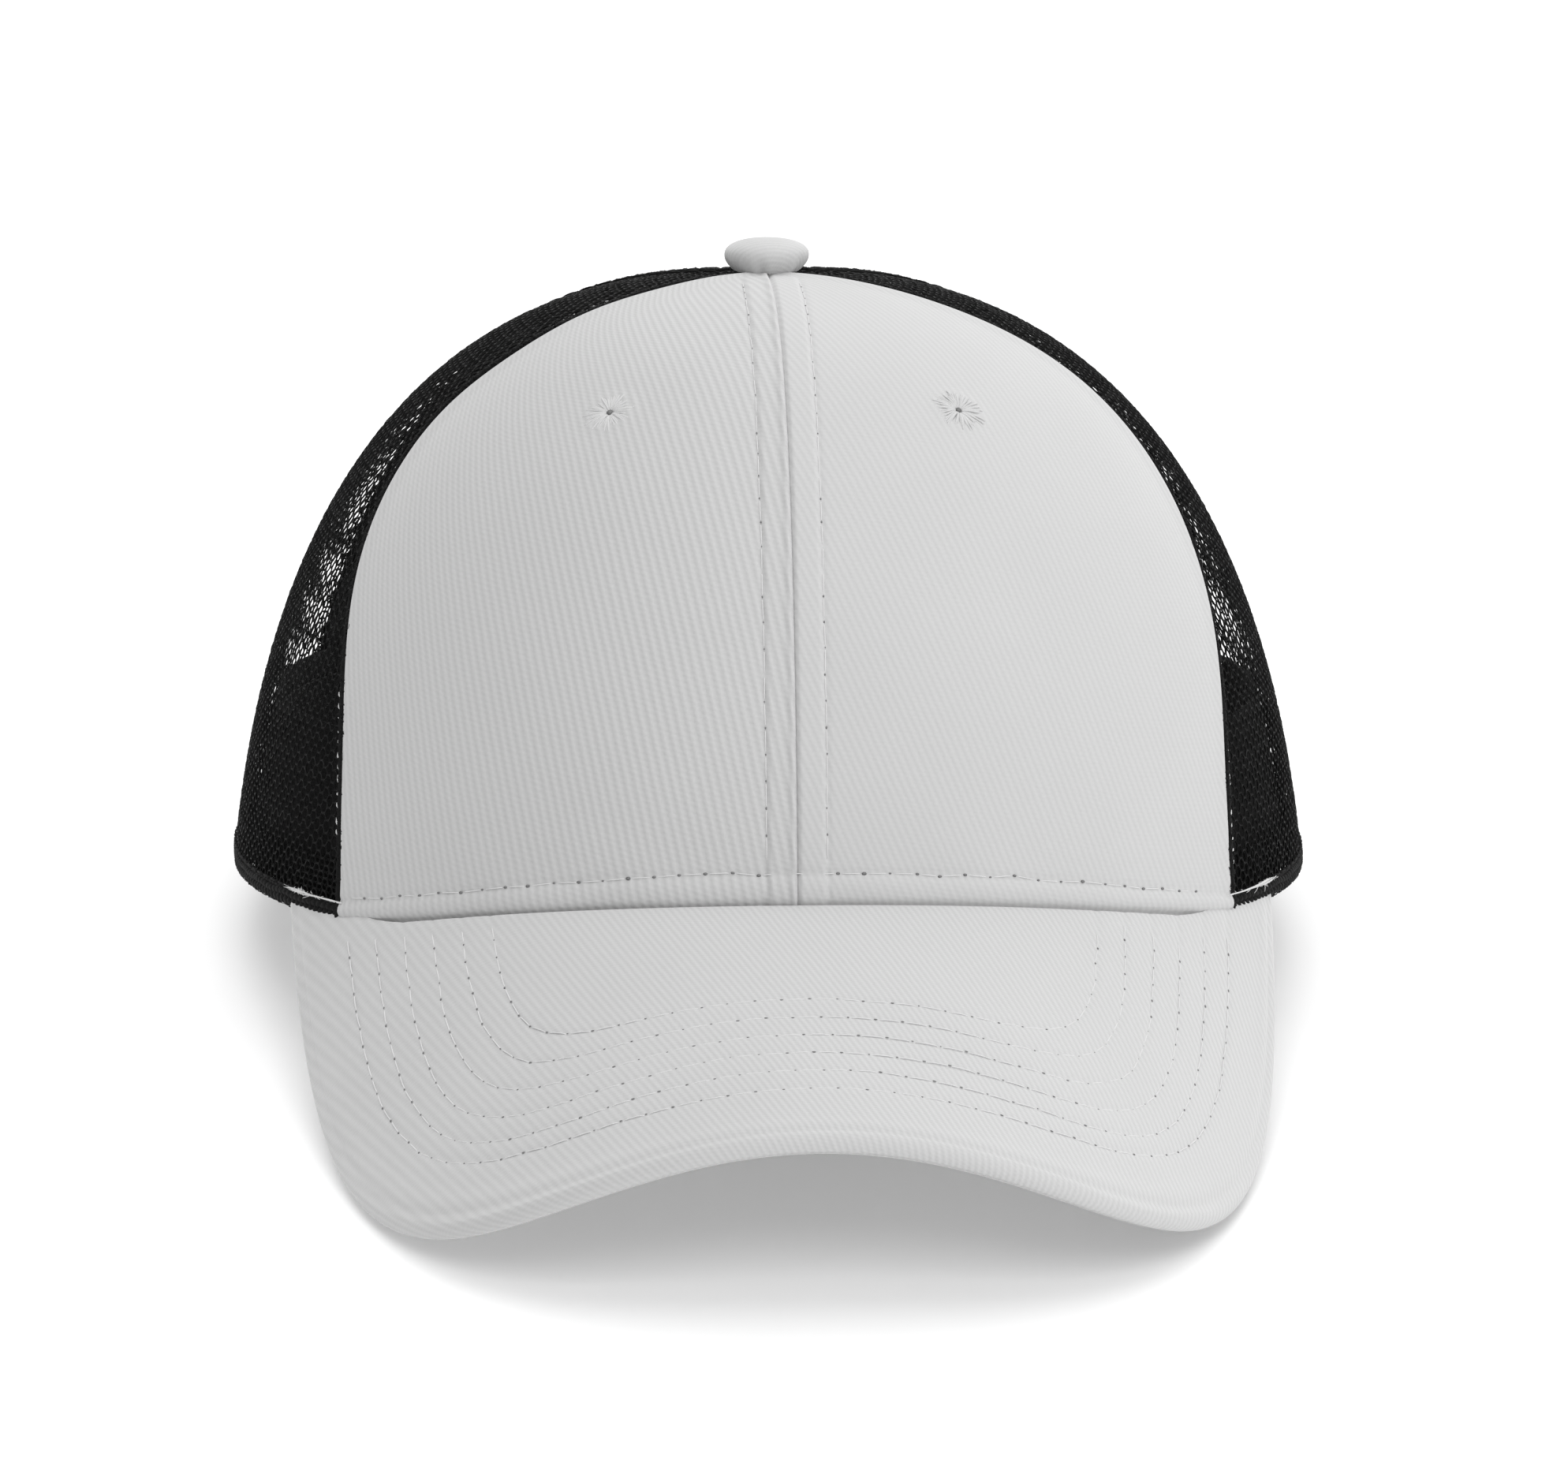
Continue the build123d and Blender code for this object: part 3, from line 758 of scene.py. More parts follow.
# ---- visor ----
def edge_frame(turn):
    """Outline points, and the outward directions there, seen from above."""
    step = 0.05
    x, y = visor_edge(turn)
    ahead_x, ahead_y = visor_edge(turn + step)
    behind_x, behind_y = visor_edge(turn - step)
    tangent = unit(np.stack([ahead_x - behind_x, ahead_y - behind_y], -1))
    return np.stack([x, y], -1), np.stack([tangent[..., 1], -tangent[..., 0]], -1)


def outside_crown(x, y, clearance=0.0):
    """Above 0 where a point lies outside the crown's wall at the visor's own height."""
    rise = rise_at(np.maximum(visor_height(x, y), 0.0))
    wall = dome(0.0, rise)[..., 1] / -FRONT_REACH
    share = (np.abs(x) / (HALF_WIDTH * wall)) ** FRONT_SQUARENESS
    share = share + (np.maximum(-y, 0) / (FRONT_REACH * wall)) ** FRONT_SQUARENESS
    return share ** (1 / FRONT_SQUARENESS) - 1 - clearance / HALF_WIDTH


def crossing_turn(clearance=0.0, *line):
    """The turn at which a line of the visor meets the crown."""
    turns = np.linspace(89.5, 40, 4000)
    x, y = visor_edge(turns, *line)
    outside = outside_crown(x, y, clearance) > 0
    return float(turns[np.argmax(outside)])


def evenly(function, low, high, count):
    """Values between low and high that are evenly spaced along the line they draw."""
    values = np.linspace(low, high, 2400)
    x, y = function(values)
    distance = np.concatenate([[0], np.cumsum(np.hypot(np.diff(x), np.diff(y)))])
    return np.interp(np.linspace(0, distance[-1], count), distance, values)


def visor_cover(name, node_name, over, material, wrap, reach, columns=330, rows=120):
    """One cloth face of the visor, turned round its edge by wrap degrees."""
    limit = crossing_turn()
    turn = evenly(visor_edge, -limit, limit, columns)
    edge, outward = edge_frame(turn)
    rim = VISOR_HALF_THICKNESS
    brink = edge - outward * rim
    corner_x = visor_edge(limit)[0]
    corner = math.degrees(math.asin((corner_x / HALF_WIDTH) ** (FRONT_SQUARENESS / 2)))

    def wall(azimuth):
        rise = rise_at(np.maximum(root_height(dome(azimuth, 0.0)[..., 0]), 0))
        tuck = 0.45 + 1.2 * ease(np.abs(dome(azimuth, 0.0)[..., 0]), 60, 72)
        spot = dome(azimuth, rise, tuck)
        return spot[..., 0], spot[..., 1]

    root_x, root_y = wall(evenly(wall, -corner, corner, columns))
    root = np.stack([root_x, root_y], -1)
    share = np.linspace(0, 1, rows)[:, None, None]
    flat = root[None] * (1 - share) + brink[None] * share
    inset = np.linalg.norm(flat - edge[None], axis=-1)
    from_root = np.linalg.norm(flat - root[None], axis=-1)
    length = np.linalg.norm(brink - root, axis=-1)[None]
    sign = 1 if over else -1
    height = 0.18 * bump(inset - 4.2, 1.3) - 0.22 * bump(inset - 2.7, 0.5)
    height = height + 0.10 * waves(flat[..., 0], flat[..., 1], 21, 30)
    for row in range(VISOR_ROWS):
        height = height - 0.14 * bump(row_distance(flat, row), 0.55)
    height = height * ease(length, 1.0, 8.0) - 0.25 * bump(from_root, 0.8)
    layers = []
    for thickness in (rim, rim - 0.55):
        relief = height if thickness == rim else 0 * height
        face = visor_point(flat[..., 0], flat[..., 1], sign * (thickness + relief))
        middle = visor_point(brink[:, 0], brink[:, 1])
        up = visor_normal(brink[:, 0], brink[:, 1]) * sign
        out = np.concatenate([outward, np.zeros((columns, 1))], -1)
        out = unit(out - up * (out * up).sum(-1, keepdims=True))
        turned = []
        for angle in np.linspace(0, math.radians(wrap), 13)[1:]:
            swell = thickness * reach
            turned.append(middle + up * thickness * math.cos(angle) + out * swell * math.sin(angle))
        layers.append(np.concatenate([face, np.stack(turned)]))
    outer, inner = layers
    around = arc_along(outer, 0)
    beyond = around - around[rows - 1]
    index = np.arange(outer.shape[0])
    last = np.minimum(index, rows - 1)
    wrapped = (index >= rows)[:, None]
    u = flat[last][..., 0] + np.where(wrapped, beyond * outward[None, :, 0], 0)
    v = flat[last][..., 1] + np.where(wrapped, beyond * outward[None, :, 1], 0)
    slope = math.hypot(1, MIDDLE_SLOPE)
    piece = slab(
        name, outer, inner, material, "white_twill",
        cloth=np.stack([u, v * slope], -1), flip=over, stands_for=[node_name],
    )
    declare_sheet(outer)


def visor_row(row):
    """A row of visor stitches: its insets at the side and in front, and its squareness."""
    return 9.7 + 4.45 * row, 13.8 + 4.85 * row, 3.6 + 0.55 * row


def row_distance(flat, row):
    """Rough distance of points from a row of visor stitches."""
    side, front, squareness = visor_row(row)
    wide, deep = VISOR_HALF_WIDTH - side, VISOR_LENGTH - front
    share = np.abs(flat[..., 0] / wide) ** squareness
    share = share + np.abs((flat[..., 1] - VISOR_WIDEST) / deep) ** squareness
    radius = np.hypot(flat[..., 0], flat[..., 1] - VISOR_WIDEST)
    return (share ** (1 / squareness) - 1) * radius / 1.08


def visor_stitching(over):
    sewn, holes = [], ([], [], [])
    sign = 1 if over else -1
    for row in range(VISOR_ROWS):
        shape = visor_row(row)
        limit = crossing_turn(1.2, *shape)

        def line(turn, shape=shape):
            return visor_edge(turn, *shape)

        turn = evenly(line, -limit, limit, 900)
        x, y = line(turn)
        level = sign * (VISOR_HALF_THICKNESS - 0.12)
        path = visor_point(x, y, np.full_like(x, level))
        part, place, normal, forward = stitches(
            path, sign * visor_normal(x, y), pitch=4.2, gap=0.6, radius=0.10, wander=0.1
        )
        sewn.append(part)
        keep_holes(holes, 0.08, place, normal, forward)
    side_name = "top" if over else "under"
    make_joined(f"visor_{side_name}_stitching", sewn, WHITE_THREAD, "white_thread")
    needle_shades(f"visor_{side_name}_needle_shades", *holes, size=0.2)


# ---- net panels ----
class Pattern:
    """A panel's flat pattern: millimetres across and up, and the way back to the crown."""

    def __init__(self, left, right, low, high, rows=200, columns=140):
        self.rises = np.linspace(low, high, rows)
        share = np.linspace(0, 1, columns)
        start, end = left(self.rises)[:, None], right(self.rises)[:, None]
        self.azimuths = start + (end - start) * share[None]
        points = dome(self.azimuths, self.rises[:, None])
        across = arc_along(points, 1)
        self.across = across - (across[:, -1:] / 2)
        middle = points[:, columns // 2]
        self.up = arc_along(middle[:, None], 0)[:, 0]

    def width(self, v):
        """Left and right limits at a height up the pattern."""
        return (
            np.interp(v, self.up, self.across[:, 0]),
            np.interp(v, self.up, self.across[:, -1]),
        )

    def to_crown(self, u, v):
        """Azimuth and rise of flat points. Points past the edges are brought back to them."""
        rise = np.interp(v, self.up, self.rises)
        spot = np.interp(v, self.up, np.arange(len(self.rises)))
        azimuth = np.zeros_like(u)
        keys = np.round(v, 4)
        for key in np.unique(keys):
            chosen = keys == key
            row = spot[chosen][0]
            low = int(min(row, len(self.rises) - 2))
            part = row - low
            ruler = self.across[low] * (1 - part) + self.across[low + 1] * part
            angles = self.azimuths[low] * (1 - part) + self.azimuths[low + 1] * part
            azimuth[chosen] = np.interp(u[chosen], ruler, angles)
        return azimuth, rise


HEXAGON = 2 * NET_COLUMN / 3


def net_ring(odd):
    """Twelve ridge points of one cell, which of them lie on the cross bars, and its hole."""
    half = NET_ROW / 2
    corner = [
        (HEXAGON, 0), (HEXAGON / 2, half), (-HEXAGON / 2, half),
        (-HEXAGON, 0), (-HEXAGON / 2, -half), (HEXAGON / 2, -half),
    ]
    ridge, bar = [], []
    for k, (x, y) in enumerate(corner):
        after = corner[(k + 1) % 6]
        middle = ((x + after[0]) / 2, (y + after[1]) / 2)
        slanted = abs(middle[0]) > 0.1
        ridge += [(x, y), middle]
        bar += [False, slanted and ((middle[1] < 0) != odd)]
    ridge = np.array(ridge)
    angle = np.arctan2(ridge[:, 1] / NET_HOLE[1], ridge[:, 0] / NET_HOLE[0])
    hole = np.stack([NET_HOLE[0] * np.cos(angle), NET_HOLE[1] * np.sin(angle)], -1)
    return ridge, np.array(bar), hole


def net_panel(name, pattern, layer, stands_for, shift=(0.0, 0.0), cut=None, seed=1, turn_in=0.0):
    """Knitted net: staggered open cells whose yarns are ridges, raised where the knit zigzags."""
    reach_u = np.abs(pattern.across).max() + NET_COLUMN
    columns = np.arange(-int(reach_u / NET_COLUMN) - 1, int(reach_u / NET_COLUMN) + 2)
    rows = np.arange(-1, int(pattern.up[-1] / NET_ROW) + 2)
    column, row = np.meshgrid(columns, rows)
    column, row = column.ravel(), row.ravel()
    centre_u = column * NET_COLUMN + shift[0]
    centre_v = (row + 0.5 * (column % 2)) * NET_ROW + shift[1]
    low, high = pattern.width(np.clip(centre_v, 0, pattern.up[-1]))
    inside = (centre_u > low - 0.5 * NET_COLUMN) & (centre_u < high + 0.5 * NET_COLUMN)
    inside &= (centre_v > -0.45 * NET_ROW) & (centre_v < pattern.up[-1] + 0.45 * NET_ROW)
    if cut is not None:
        azimuth, rise = pattern.to_crown(centre_u, centre_v)
        inside &= ~cut(dome(azimuth, rise))
    column, centre_u, centre_v = column[inside], centre_u[inside], centre_v[inside]
    ridges, holes, bars = [], [], []
    for odd in (False, True):
        ridge, bar, hole = net_ring(odd)
        chosen = (column % 2 == 1) == odd
        centre = np.stack([centre_u[chosen], centre_v[chosen]], -1)[:, None]
        ridges.append(centre + ridge[None])
        holes.append(centre + hole[None])
        bars.append(np.broadcast_to(bar, (chosen.sum(), 12)))
    ridges, holes, bars = (np.concatenate(a).reshape(-1, *a[0].shape[2:]) for a in (ridges, holes, bars))
    keys = np.round(ridges * 200).astype(np.int64)
    _, first, where = np.unique(keys, axis=0, return_index=True, return_inverse=True)
    where = where.ravel()
    shared, on_bar = ridges[first], bars[first]
    draw = np.random.default_rng(seed)
    wobble = draw.normal(0, 0.05, shared.shape)
    azimuth, rise = pattern.to_crown(shared[:, 0], np.clip(shared[:, 1], 0, pattern.up[-1]))
    turn = degrees_per_mm(dome(azimuth, rise), 0.05)
    azimuth = azimuth + wobble[:, 0] * np.minimum(turn, 1.0)
    rise = rise + wobble[:, 1] / RISE_LENGTH
    top = np.where(on_bar, layer[0] + 0.12, layer[0]) + draw.normal(0, 0.03, len(shared))
    bottom = layer[1] + draw.normal(0, 0.03, len(shared))
    upper, lower = dome(azimuth, rise, top), dome(azimuth, rise, bottom)
    hole_azimuth, hole_rise = pattern.to_crown(holes[:, 0], np.clip(holes[:, 1], 0, pattern.up[-1]))
    rim = dome(hole_azimuth, hole_rise, (layer[0] + layer[1]) / 2)
    count = len(shared)
    cells = len(where) // 12
    ring = where.reshape(cells, 12)
    hole_ring = (2 * count + np.arange(cells * 12)).reshape(cells, 12)
    ring_next, hole_next = np.roll(ring, -1, 1), np.roll(hole_ring, -1, 1)
    above = np.stack([ring, ring_next, hole_next, hole_ring], -1).reshape(-1, 4)
    below = np.stack([ring_next + count, ring + count, hole_ring, hole_next], -1).reshape(-1, 4)
    edges = np.stack([ring, ring_next], -1).reshape(-1, 2)
    walls = edge_walls(edges, count)
    points = np.concatenate([upper, lower, rim])
    faces = np.concatenate([above, below, walls])
    piece = make(name, points, faces, NET, "black_mesh", stands_for=stands_for)
    area = sum(face.area for face in piece.data.polygons) / 2
    width, length = float(np.ptp(pattern.across)) * MM, (float(pattern.up[-1]) + turn_in) * MM
    area = min(max(area, NET_FLOOR * width * length), width * length)
    return piece


def arch_distance(points):
    """Distance outwards from the rear opening's edge, seen from behind."""
    x, z = np.abs(points[..., 0]), points[..., 2]
    above = np.hypot(x, np.maximum(z - ARCH_SPRING, 0)) - ARCH_HALF_WIDTH
    return np.where(points[..., 1] > 0, above, 99.0)


def level(value):
    return lambda rise: np.full_like(rise, float(value))


def net_panels():
    tuck = 0.25
    for side, sign in SIDES:
        spans = {
            "side_mesh": (lambda r: sign * (front_seam(r) + tuck), level(sign * (REAR_SEAM - 0.1))),
            "rear_mesh": (level(sign * (REAR_SEAM + 0.1)), level(sign * (180 - 0.1))),
        }
        for kind, (near, far) in spans.items():
            left, right = (near, far) if sign > 0 else (far, near)
            pattern = Pattern(left, right, 0.0, APEX_RISE)
            cut = (lambda p: arch_distance(p) < 1.6) if kind == "rear_mesh" else None
            net_panel(
                f"{kind}_net_{side}", pattern, NET_LAYER, cut=cut,
                stands_for=[f"{kind}_{side}"], seed=31 + sign,
            )
        near, far = (lambda r: sign * (SEAM_RIM + 0.6) + 0 * r), level(sign * 150.0)
        left, right = (near, far) if sign > 0 else (far, near)
        pattern = Pattern(left, right, 0.0, float(rise_at(HEM_HEIGHT)), rows=24, columns=260)
        net_panel(
            f"hem_net_{side}", pattern, HEM_LAYER,
            shift=(0.9, 0.6), cut=lambda p: arch_distance(p) < 1.6,
            stands_for=[f"mesh_hem_{side}"], seed=41 + sign, turn_in=HEM_TURN_IN,
        )


# ---- tapes, sweatband, buckram ----
def strip_grid(left, right, low, high, columns, rows):
    """Azimuth and rise of a strip on the crown, its columns running to image right."""
    rise = low + (high - low) * np.linspace(0, 1, rows)[:, None] * np.ones((1, columns))
    azimuth = left(rise) + (right(rise) - left(rise)) * np.linspace(0, 1, columns)[None]
    return azimuth, rise


def flat_coordinates(points):
    across = arc_along(points, 1)
    return np.stack([across - across[:, -1:] / 2, arc_along(points, 0)], -1)


def seam_tape(name, centre, low_height, high=0.975):
    low = float(rise_at(low_height))

    def half_turn(rise):
        around = dome(centre(rise), rise)
        return np.minimum(np.degrees(TAPE_WIDTH / 2 / np.hypot(around[..., 0], around[..., 1])), 27.0)

    azimuth, rise = strip_grid(
        lambda r: centre(r) - half_turn(r), lambda r: centre(r) + half_turn(r), low, high, 13, 150
    )
    share = np.linspace(-1, 1, 13)[None]
    lift = 0.10 * waves(share * 6, rise * RISE_LENGTH, 51, 17) * (1 - share**2)
    lift = lift + 0.08 * (np.abs(share) > 0.9)
    outer, inner = (dome(azimuth, rise, depth - lift) for depth in TAPE_LAYER)
    cloth = flat_coordinates(outer)
    piece = slab(name + "_cloth", outer, inner, TAPE, "black_tape", cloth=cloth, stands_for=[name])
    declare_sheet(outer)
    sewn = []
    rises = np.linspace(low + 0.02, high - 0.06, 160)
    for distance in (-4.4, 4.4):
        azimuths = azimuth_beside(centre, rises, distance)
        path = dome(azimuths, rises, 2.12)
        sewn.append(stitches(path, -dome_normal(azimuths, rises), pitch=3.4, radius=0.14)[0])
    make_joined(name + "_stitches", sewn, BLACK_THREAD, "black_tape")


def seam_tapes():
    arch_top = ARCH_SPRING + ARCH_HALF_WIDTH + BINDING_WIDTH + 2.5
    seam_tape("seam_tape_front", level(0), ROOT_RISE)
    seam_tape("seam_tape_rear", level(180), arch_top)
    for side, sign in SIDES:
        low = HEM_HEIGHT + 0.5
        seam_tape(f"seam_tape_temple_{side}", lambda r: sign * front_seam(r), low)
        seam_tape(f"seam_tape_side_{side}", level(sign * REAR_SEAM), low)


def buckram(side, sign):
    azimuth, rise = panel_grid(sign, 0.6, 90, 90)
    outer, inner = (dome(azimuth, rise, depth) for depth in BUCKRAM_LAYER)
    piece = slab(
        f"buckram_weave_{side}", outer, inner, BUCKRAM, "buckram",
        cloth=flat_coordinates(outer), stands_for=[f"buckram_{side}"],
    )
    declare_sheet(outer)


def sweatband():
    columns, rows = 420, 26
    azimuth = np.linspace(-SWEATBAND_END, SWEATBAND_END, columns)[None]
    x = dome(azimuth, 0.0)[..., 0]
    lowest = np.where(np.abs(azimuth) < 90, np.maximum(root_height(x), 0), 0) + 1.0
    wave = 0.35 * waves(azimuth, 0 * azimuth, 61, 40)
    share = np.linspace(0, 1, rows)[:, None]
    height = lowest + (SWEATBAND_HEIGHT + wave - 0.4 - lowest) * share
    rise = rise_at(height)
    lift = 0.22 * waves(azimuth * 1.5, height, 62, 26) * np.sin(np.pi * share)
    lift = lift + 0.30 * ease(share, 0.86, 0.97) * (1 - ease(share, 0.985, 1.0))
    lift = lift - 0.2 * bump(share - 0.85, 0.02)
    azimuth = azimuth + 0 * share
    outer, inner = dome(azimuth, rise, BAND_LAYER[0]), dome(azimuth, rise, BAND_LAYER[1] + lift)
    cloth = flat_coordinates(outer)
    piece = slab(
        "sweatband_cloth", outer, inner, BAND, "sweatband_cloth", cloth=cloth, stands_for=["sweatband"]
    )
    declare_sheet(outer)
    sewn = []
    for share_up in (0.07, 0.83):
        line = lowest[0] + (SWEATBAND_HEIGHT - 0.4 - lowest[0]) * share_up
        rises = rise_at(line)
        path = dome(azimuth[0], rises, 3.80)
        sewn.append(stitches(path, -dome_normal(azimuth[0], rises), pitch=3.4, radius=0.15)[0])
    make_joined("sweatband_stitches", sewn, BLACK_THREAD, "sweatband_cloth")


# ---- rear opening ----
def rear_point(x, z, inset):
    """The point of the crown's back at x and height z, on the layer at that depth."""
    share = z / (CROWN_HEIGHT - inset)
    rise = rise_at(share * CROWN_HEIGHT)
    azimuth = np.full(np.broadcast(x, z).shape, 180.0)
    for _ in range(12):
        ahead = np.cos(np.radians(azimuth))
        fullness = SIDE_FULLNESS + (REAR_FULLNESS - SIDE_FULLNESS) * np.maximum(-ahead, 0) ** 2
        climb = np.radians(RIM_ANGLE + (90 - RIM_ANGLE) * rise)
        shrink = (np.cos(climb) / math.cos(math.radians(RIM_ANGLE))) ** fullness
        reach = np.clip(x / ((HALF_WIDTH - inset) * shrink), -1, 1)
        azimuth = 180 - np.degrees(np.arcsin(reach))
    return dome(azimuth, rise, inset)


def arch_path(offset, count):
    """The rear opening's edge, or a line outside it: up one side, round, and down the other."""
    leg = ARCH_SPRING
    radius = ARCH_HALF_WIDTH + offset
    total = 2 * leg + math.pi * radius
    distance = np.linspace(0, total, count)
    angle = np.clip((distance - leg) / radius, 0, math.pi)
    x = radius * np.cos(angle)
    z = ARCH_SPRING + radius * np.sin(angle)
    z = np.where(distance < leg, distance, z)
    z = np.where(distance > total - leg, total - distance, z)
    return x, z


def rear_binding():
    """A strip folded over the net's edge, from the outside round the opening to the inside."""
    count = 260
    section = [(6.9, -0.1), (6.3, -0.42), (3.6, -0.46), (1.2, -0.46), (0.5, -0.28), (0.2, 0.25)]
    section += [(0.15, 1.0), (0.2, 1.7), (0.5, 2.2), (1.2, 2.4), (3.6, 2.4), (6.3, 2.36), (6.9, 2.1)]
    inside = [(6.8, 0.02), (6.2, -0.05), (3.6, -0.05), (1.6, -0.05), (1.1, 0.05), (0.95, 0.4)]
    inside += [(0.95, 1.0), (0.95, 1.6), (1.1, 1.9), (1.6, 1.95), (3.6, 1.95), (6.2, 1.95), (6.8, 1.9)]
    layers = []
    for profile in (section, inside):
        lines = []
        for offset, depth in profile:
            x, z = arch_path(offset, count)
            ripple = 0.06 * np.sin(np.arange(count) * 0.9) * (1 if 1 < offset < 6.5 else 0)
            lines.append(rear_point(x, np.maximum(z, 0.02), depth - ripple))
        layers.append(np.stack(lines))
    outer, inner = layers
    piece = slab(
        "rear_binding_tape", outer, inner, TAPE, "black_tape",
        cloth=np.stack([arc_along(outer, 1), arc_along(outer, 0)], -1), stands_for=["rear_binding"],
    )
    declare_sheet(outer)
    sewn = []
    for depth, sign in ((-0.46, 1), (2.42, -1)):
        for offset in (1.9, 5.6):
            x, z = arch_path(offset, 400)
            path = rear_point(x, np.maximum(z, 0.02), depth)
            towards = rear_point(x, np.maximum(z, 0.02), depth - 0.5) - path
            sewn.append(stitches(path, unit(towards) * sign, pitch=3.2, radius=0.15)[0])
    make_joined("rear_binding_stitches", sewn, BLACK_THREAD, "black_tape")


def strap_azimuth_per_mm():
    start, end = dome(175.0, 0.1, 4.5), dome(185.0, 0.1, 4.5)
    return 10 / float(np.linalg.norm(end - start))


def peg_step(azimuth):
    """How far the strap with pegs has stepped inwards, behind the strap with holes."""
    travel = np.clip((360 - STRAP_HINGE - azimuth) / (360 - STRAP_HINGE - STRAP_REACH), 0, 1)
    return PEG_STRAP_DROP * travel**2 * (3 - 2 * travel)


def build_strap(name, sign, holes, stands_for):
    """One strap half with its sewn end: a slab with rounded edges and a round free end."""
    per_mm = strap_azimuth_per_mm()
    middle = (STRAP_LOW + STRAP_HIGH) / 2
    half_height = (STRAP_HIGH - STRAP_LOW) / 2
    start, end = TAB_END + 0.5, STRAP_REACH - 0.1
    length = (end - start) / per_mm
    snaps = [(180 + (SNAP_INNER - k) * SNAP_PITCH - start) / per_mm for k in range(SNAP_COUNT)]
    columns, rows = 460, 46
    s = np.linspace(0, length, columns)
    t = crowded(rows, 0.5) * 2 - 1
    corner = 6.5
    beyond = np.clip(s - (length - corner), 0, corner)
    squeeze = 1 - (corner - np.sqrt(np.maximum(corner**2 - beyond**2, 0.0))) / half_height
    grid_s = np.broadcast_to(s[None], (rows, columns)).copy()
    grid_h = t[:, None] * half_height * squeeze[None]
    if holes:
        for centre in snaps:
            away = np.hypot(grid_s - centre, grid_h)
            reach = HOLE_RADIUS
            near = away < 2 * reach
            scale = np.where(near, (reach + (away / (2 * reach)) * reach) / np.maximum(away, 1e-6), 1)
            grid_h = grid_h * scale
            grid_s = centre + (grid_s - centre) * scale
    edge = half_height * squeeze[None] - np.abs(grid_h)
    from_end = length - grid_s
    edge = np.minimum(edge, np.minimum(from_end, grid_s + 2))
    rounding = 0.42 * np.clip(1 - edge / 0.55, 0, 1) ** 2
    ridge = 0.16 * bump(edge - 1.5, 0.35)
    azimuth = start + grid_s * per_mm
    rise = rise_at(middle + grid_h)
    step = peg_step(360 - azimuth) if not holes else 0 * azimuth
    outer_depth = STRAP_LAYER[0] + step + rounding - ridge + 0.12
    inner_depth = STRAP_LAYER[1] + step - rounding - 0.02
    if holes:
        lip = np.zeros_like(grid_s)
        for centre in snaps:
            away = np.hypot(grid_s - centre, grid_h)
            lip = lip + 0.22 * bump(away - HOLE_RADIUS - 0.75, 0.4) - 0.3 * bump(away - HOLE_RADIUS, 0.25)
        outer_depth = outer_depth - lip
    flip = sign < 0
    outer, inner = dome(sign * azimuth, rise, outer_depth), dome(sign * azimuth, rise, inner_depth)
    count = rows * columns
    quads = grid_faces(rows, columns)
    if holes:
        middle_s = grid_s.ravel()[quads].mean(1)
        middle_h = grid_h.ravel()[quads].mean(1)
        open_here = np.zeros(len(quads), bool)
        for centre in snaps:
            open_here |= np.hypot(middle_s - centre, middle_h) < HOLE_RADIUS + 0.02
        quads = quads[~open_here]
    edges = np.concatenate([quads[:, [k, (k + 1) % 4]] for k in range(4)])
    walls = edge_walls(edges, count)
    faces = np.concatenate([quads, quads[:, ::-1] + count, walls])
    used, back = np.unique(faces, return_inverse=True)
    points = np.concatenate([outer.reshape(-1, 3), inner.reshape(-1, 3)])[used]
    faces = back.reshape(faces.shape)
    if flip:
        faces = faces[:, ::-1]
    piece = make(name, points, faces, STRAP, "strap_plastic", body=None, stands_for=stands_for)
    start_point, end_point = (
        stand(dome(sign * (STRAP_HINGE + turn), rise_at(middle), sum(STRAP_LAYER) / 2))
        for turn in (-3.2, 3.2)
    )
    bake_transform(piece)
    return snaps, per_mm, start


def peg_row(snaps, per_mm, start):
    """Snap pegs: a stem with a rounded head, on the outer face of the inner strap."""
    profile = [(0.0, 1.45), (0.75, 1.35), (1.0, 1.7), (1.35, PEG_RADIUS)]
    profile += [(1.75, 1.7), (2.0, 1.25), (2.1, 0.5), (2.12, 0.02)]
    sides = 28
    parts = []
    for centre in snaps:
        azimuth = -(start + centre * per_mm)
        rise = float(rise_at((STRAP_LOW + STRAP_HIGH) / 2))
        depth = STRAP_LAYER[0] + float(peg_step(360 + azimuth))
        base = dome(azimuth, rise, depth + 0.15)
        normal = dome_normal(np.array(azimuth), np.array(rise))
        along = unit(dome(azimuth + 0.1, rise) - dome(azimuth, rise))
        upward = np.cross(normal, along)
        turn = np.arange(sides) * 2 * math.pi / sides
        spokes = np.cos(turn)[:, None] * along + np.sin(turn)[:, None] * upward
        rings = [base + normal * height + spokes * radius for height, radius in profile]
        quads = grid_faces(len(profile), sides, wrap=True)
        caps = end_caps(len(profile), sides)
        parts.append((np.concatenate(rings), [quads, caps]))
    make_joined("snap_pegs", parts, STRAP, "strap_plastic", body="peg_strap")


def straps():
    build_strap("strap_with_holes", 1, True, ["hole_strap", "hole_strap_tab"])
    facts = build_strap("strap_with_pegs", -1, False, ["peg_strap", "peg_strap_tab"])
    peg_row(*facts)


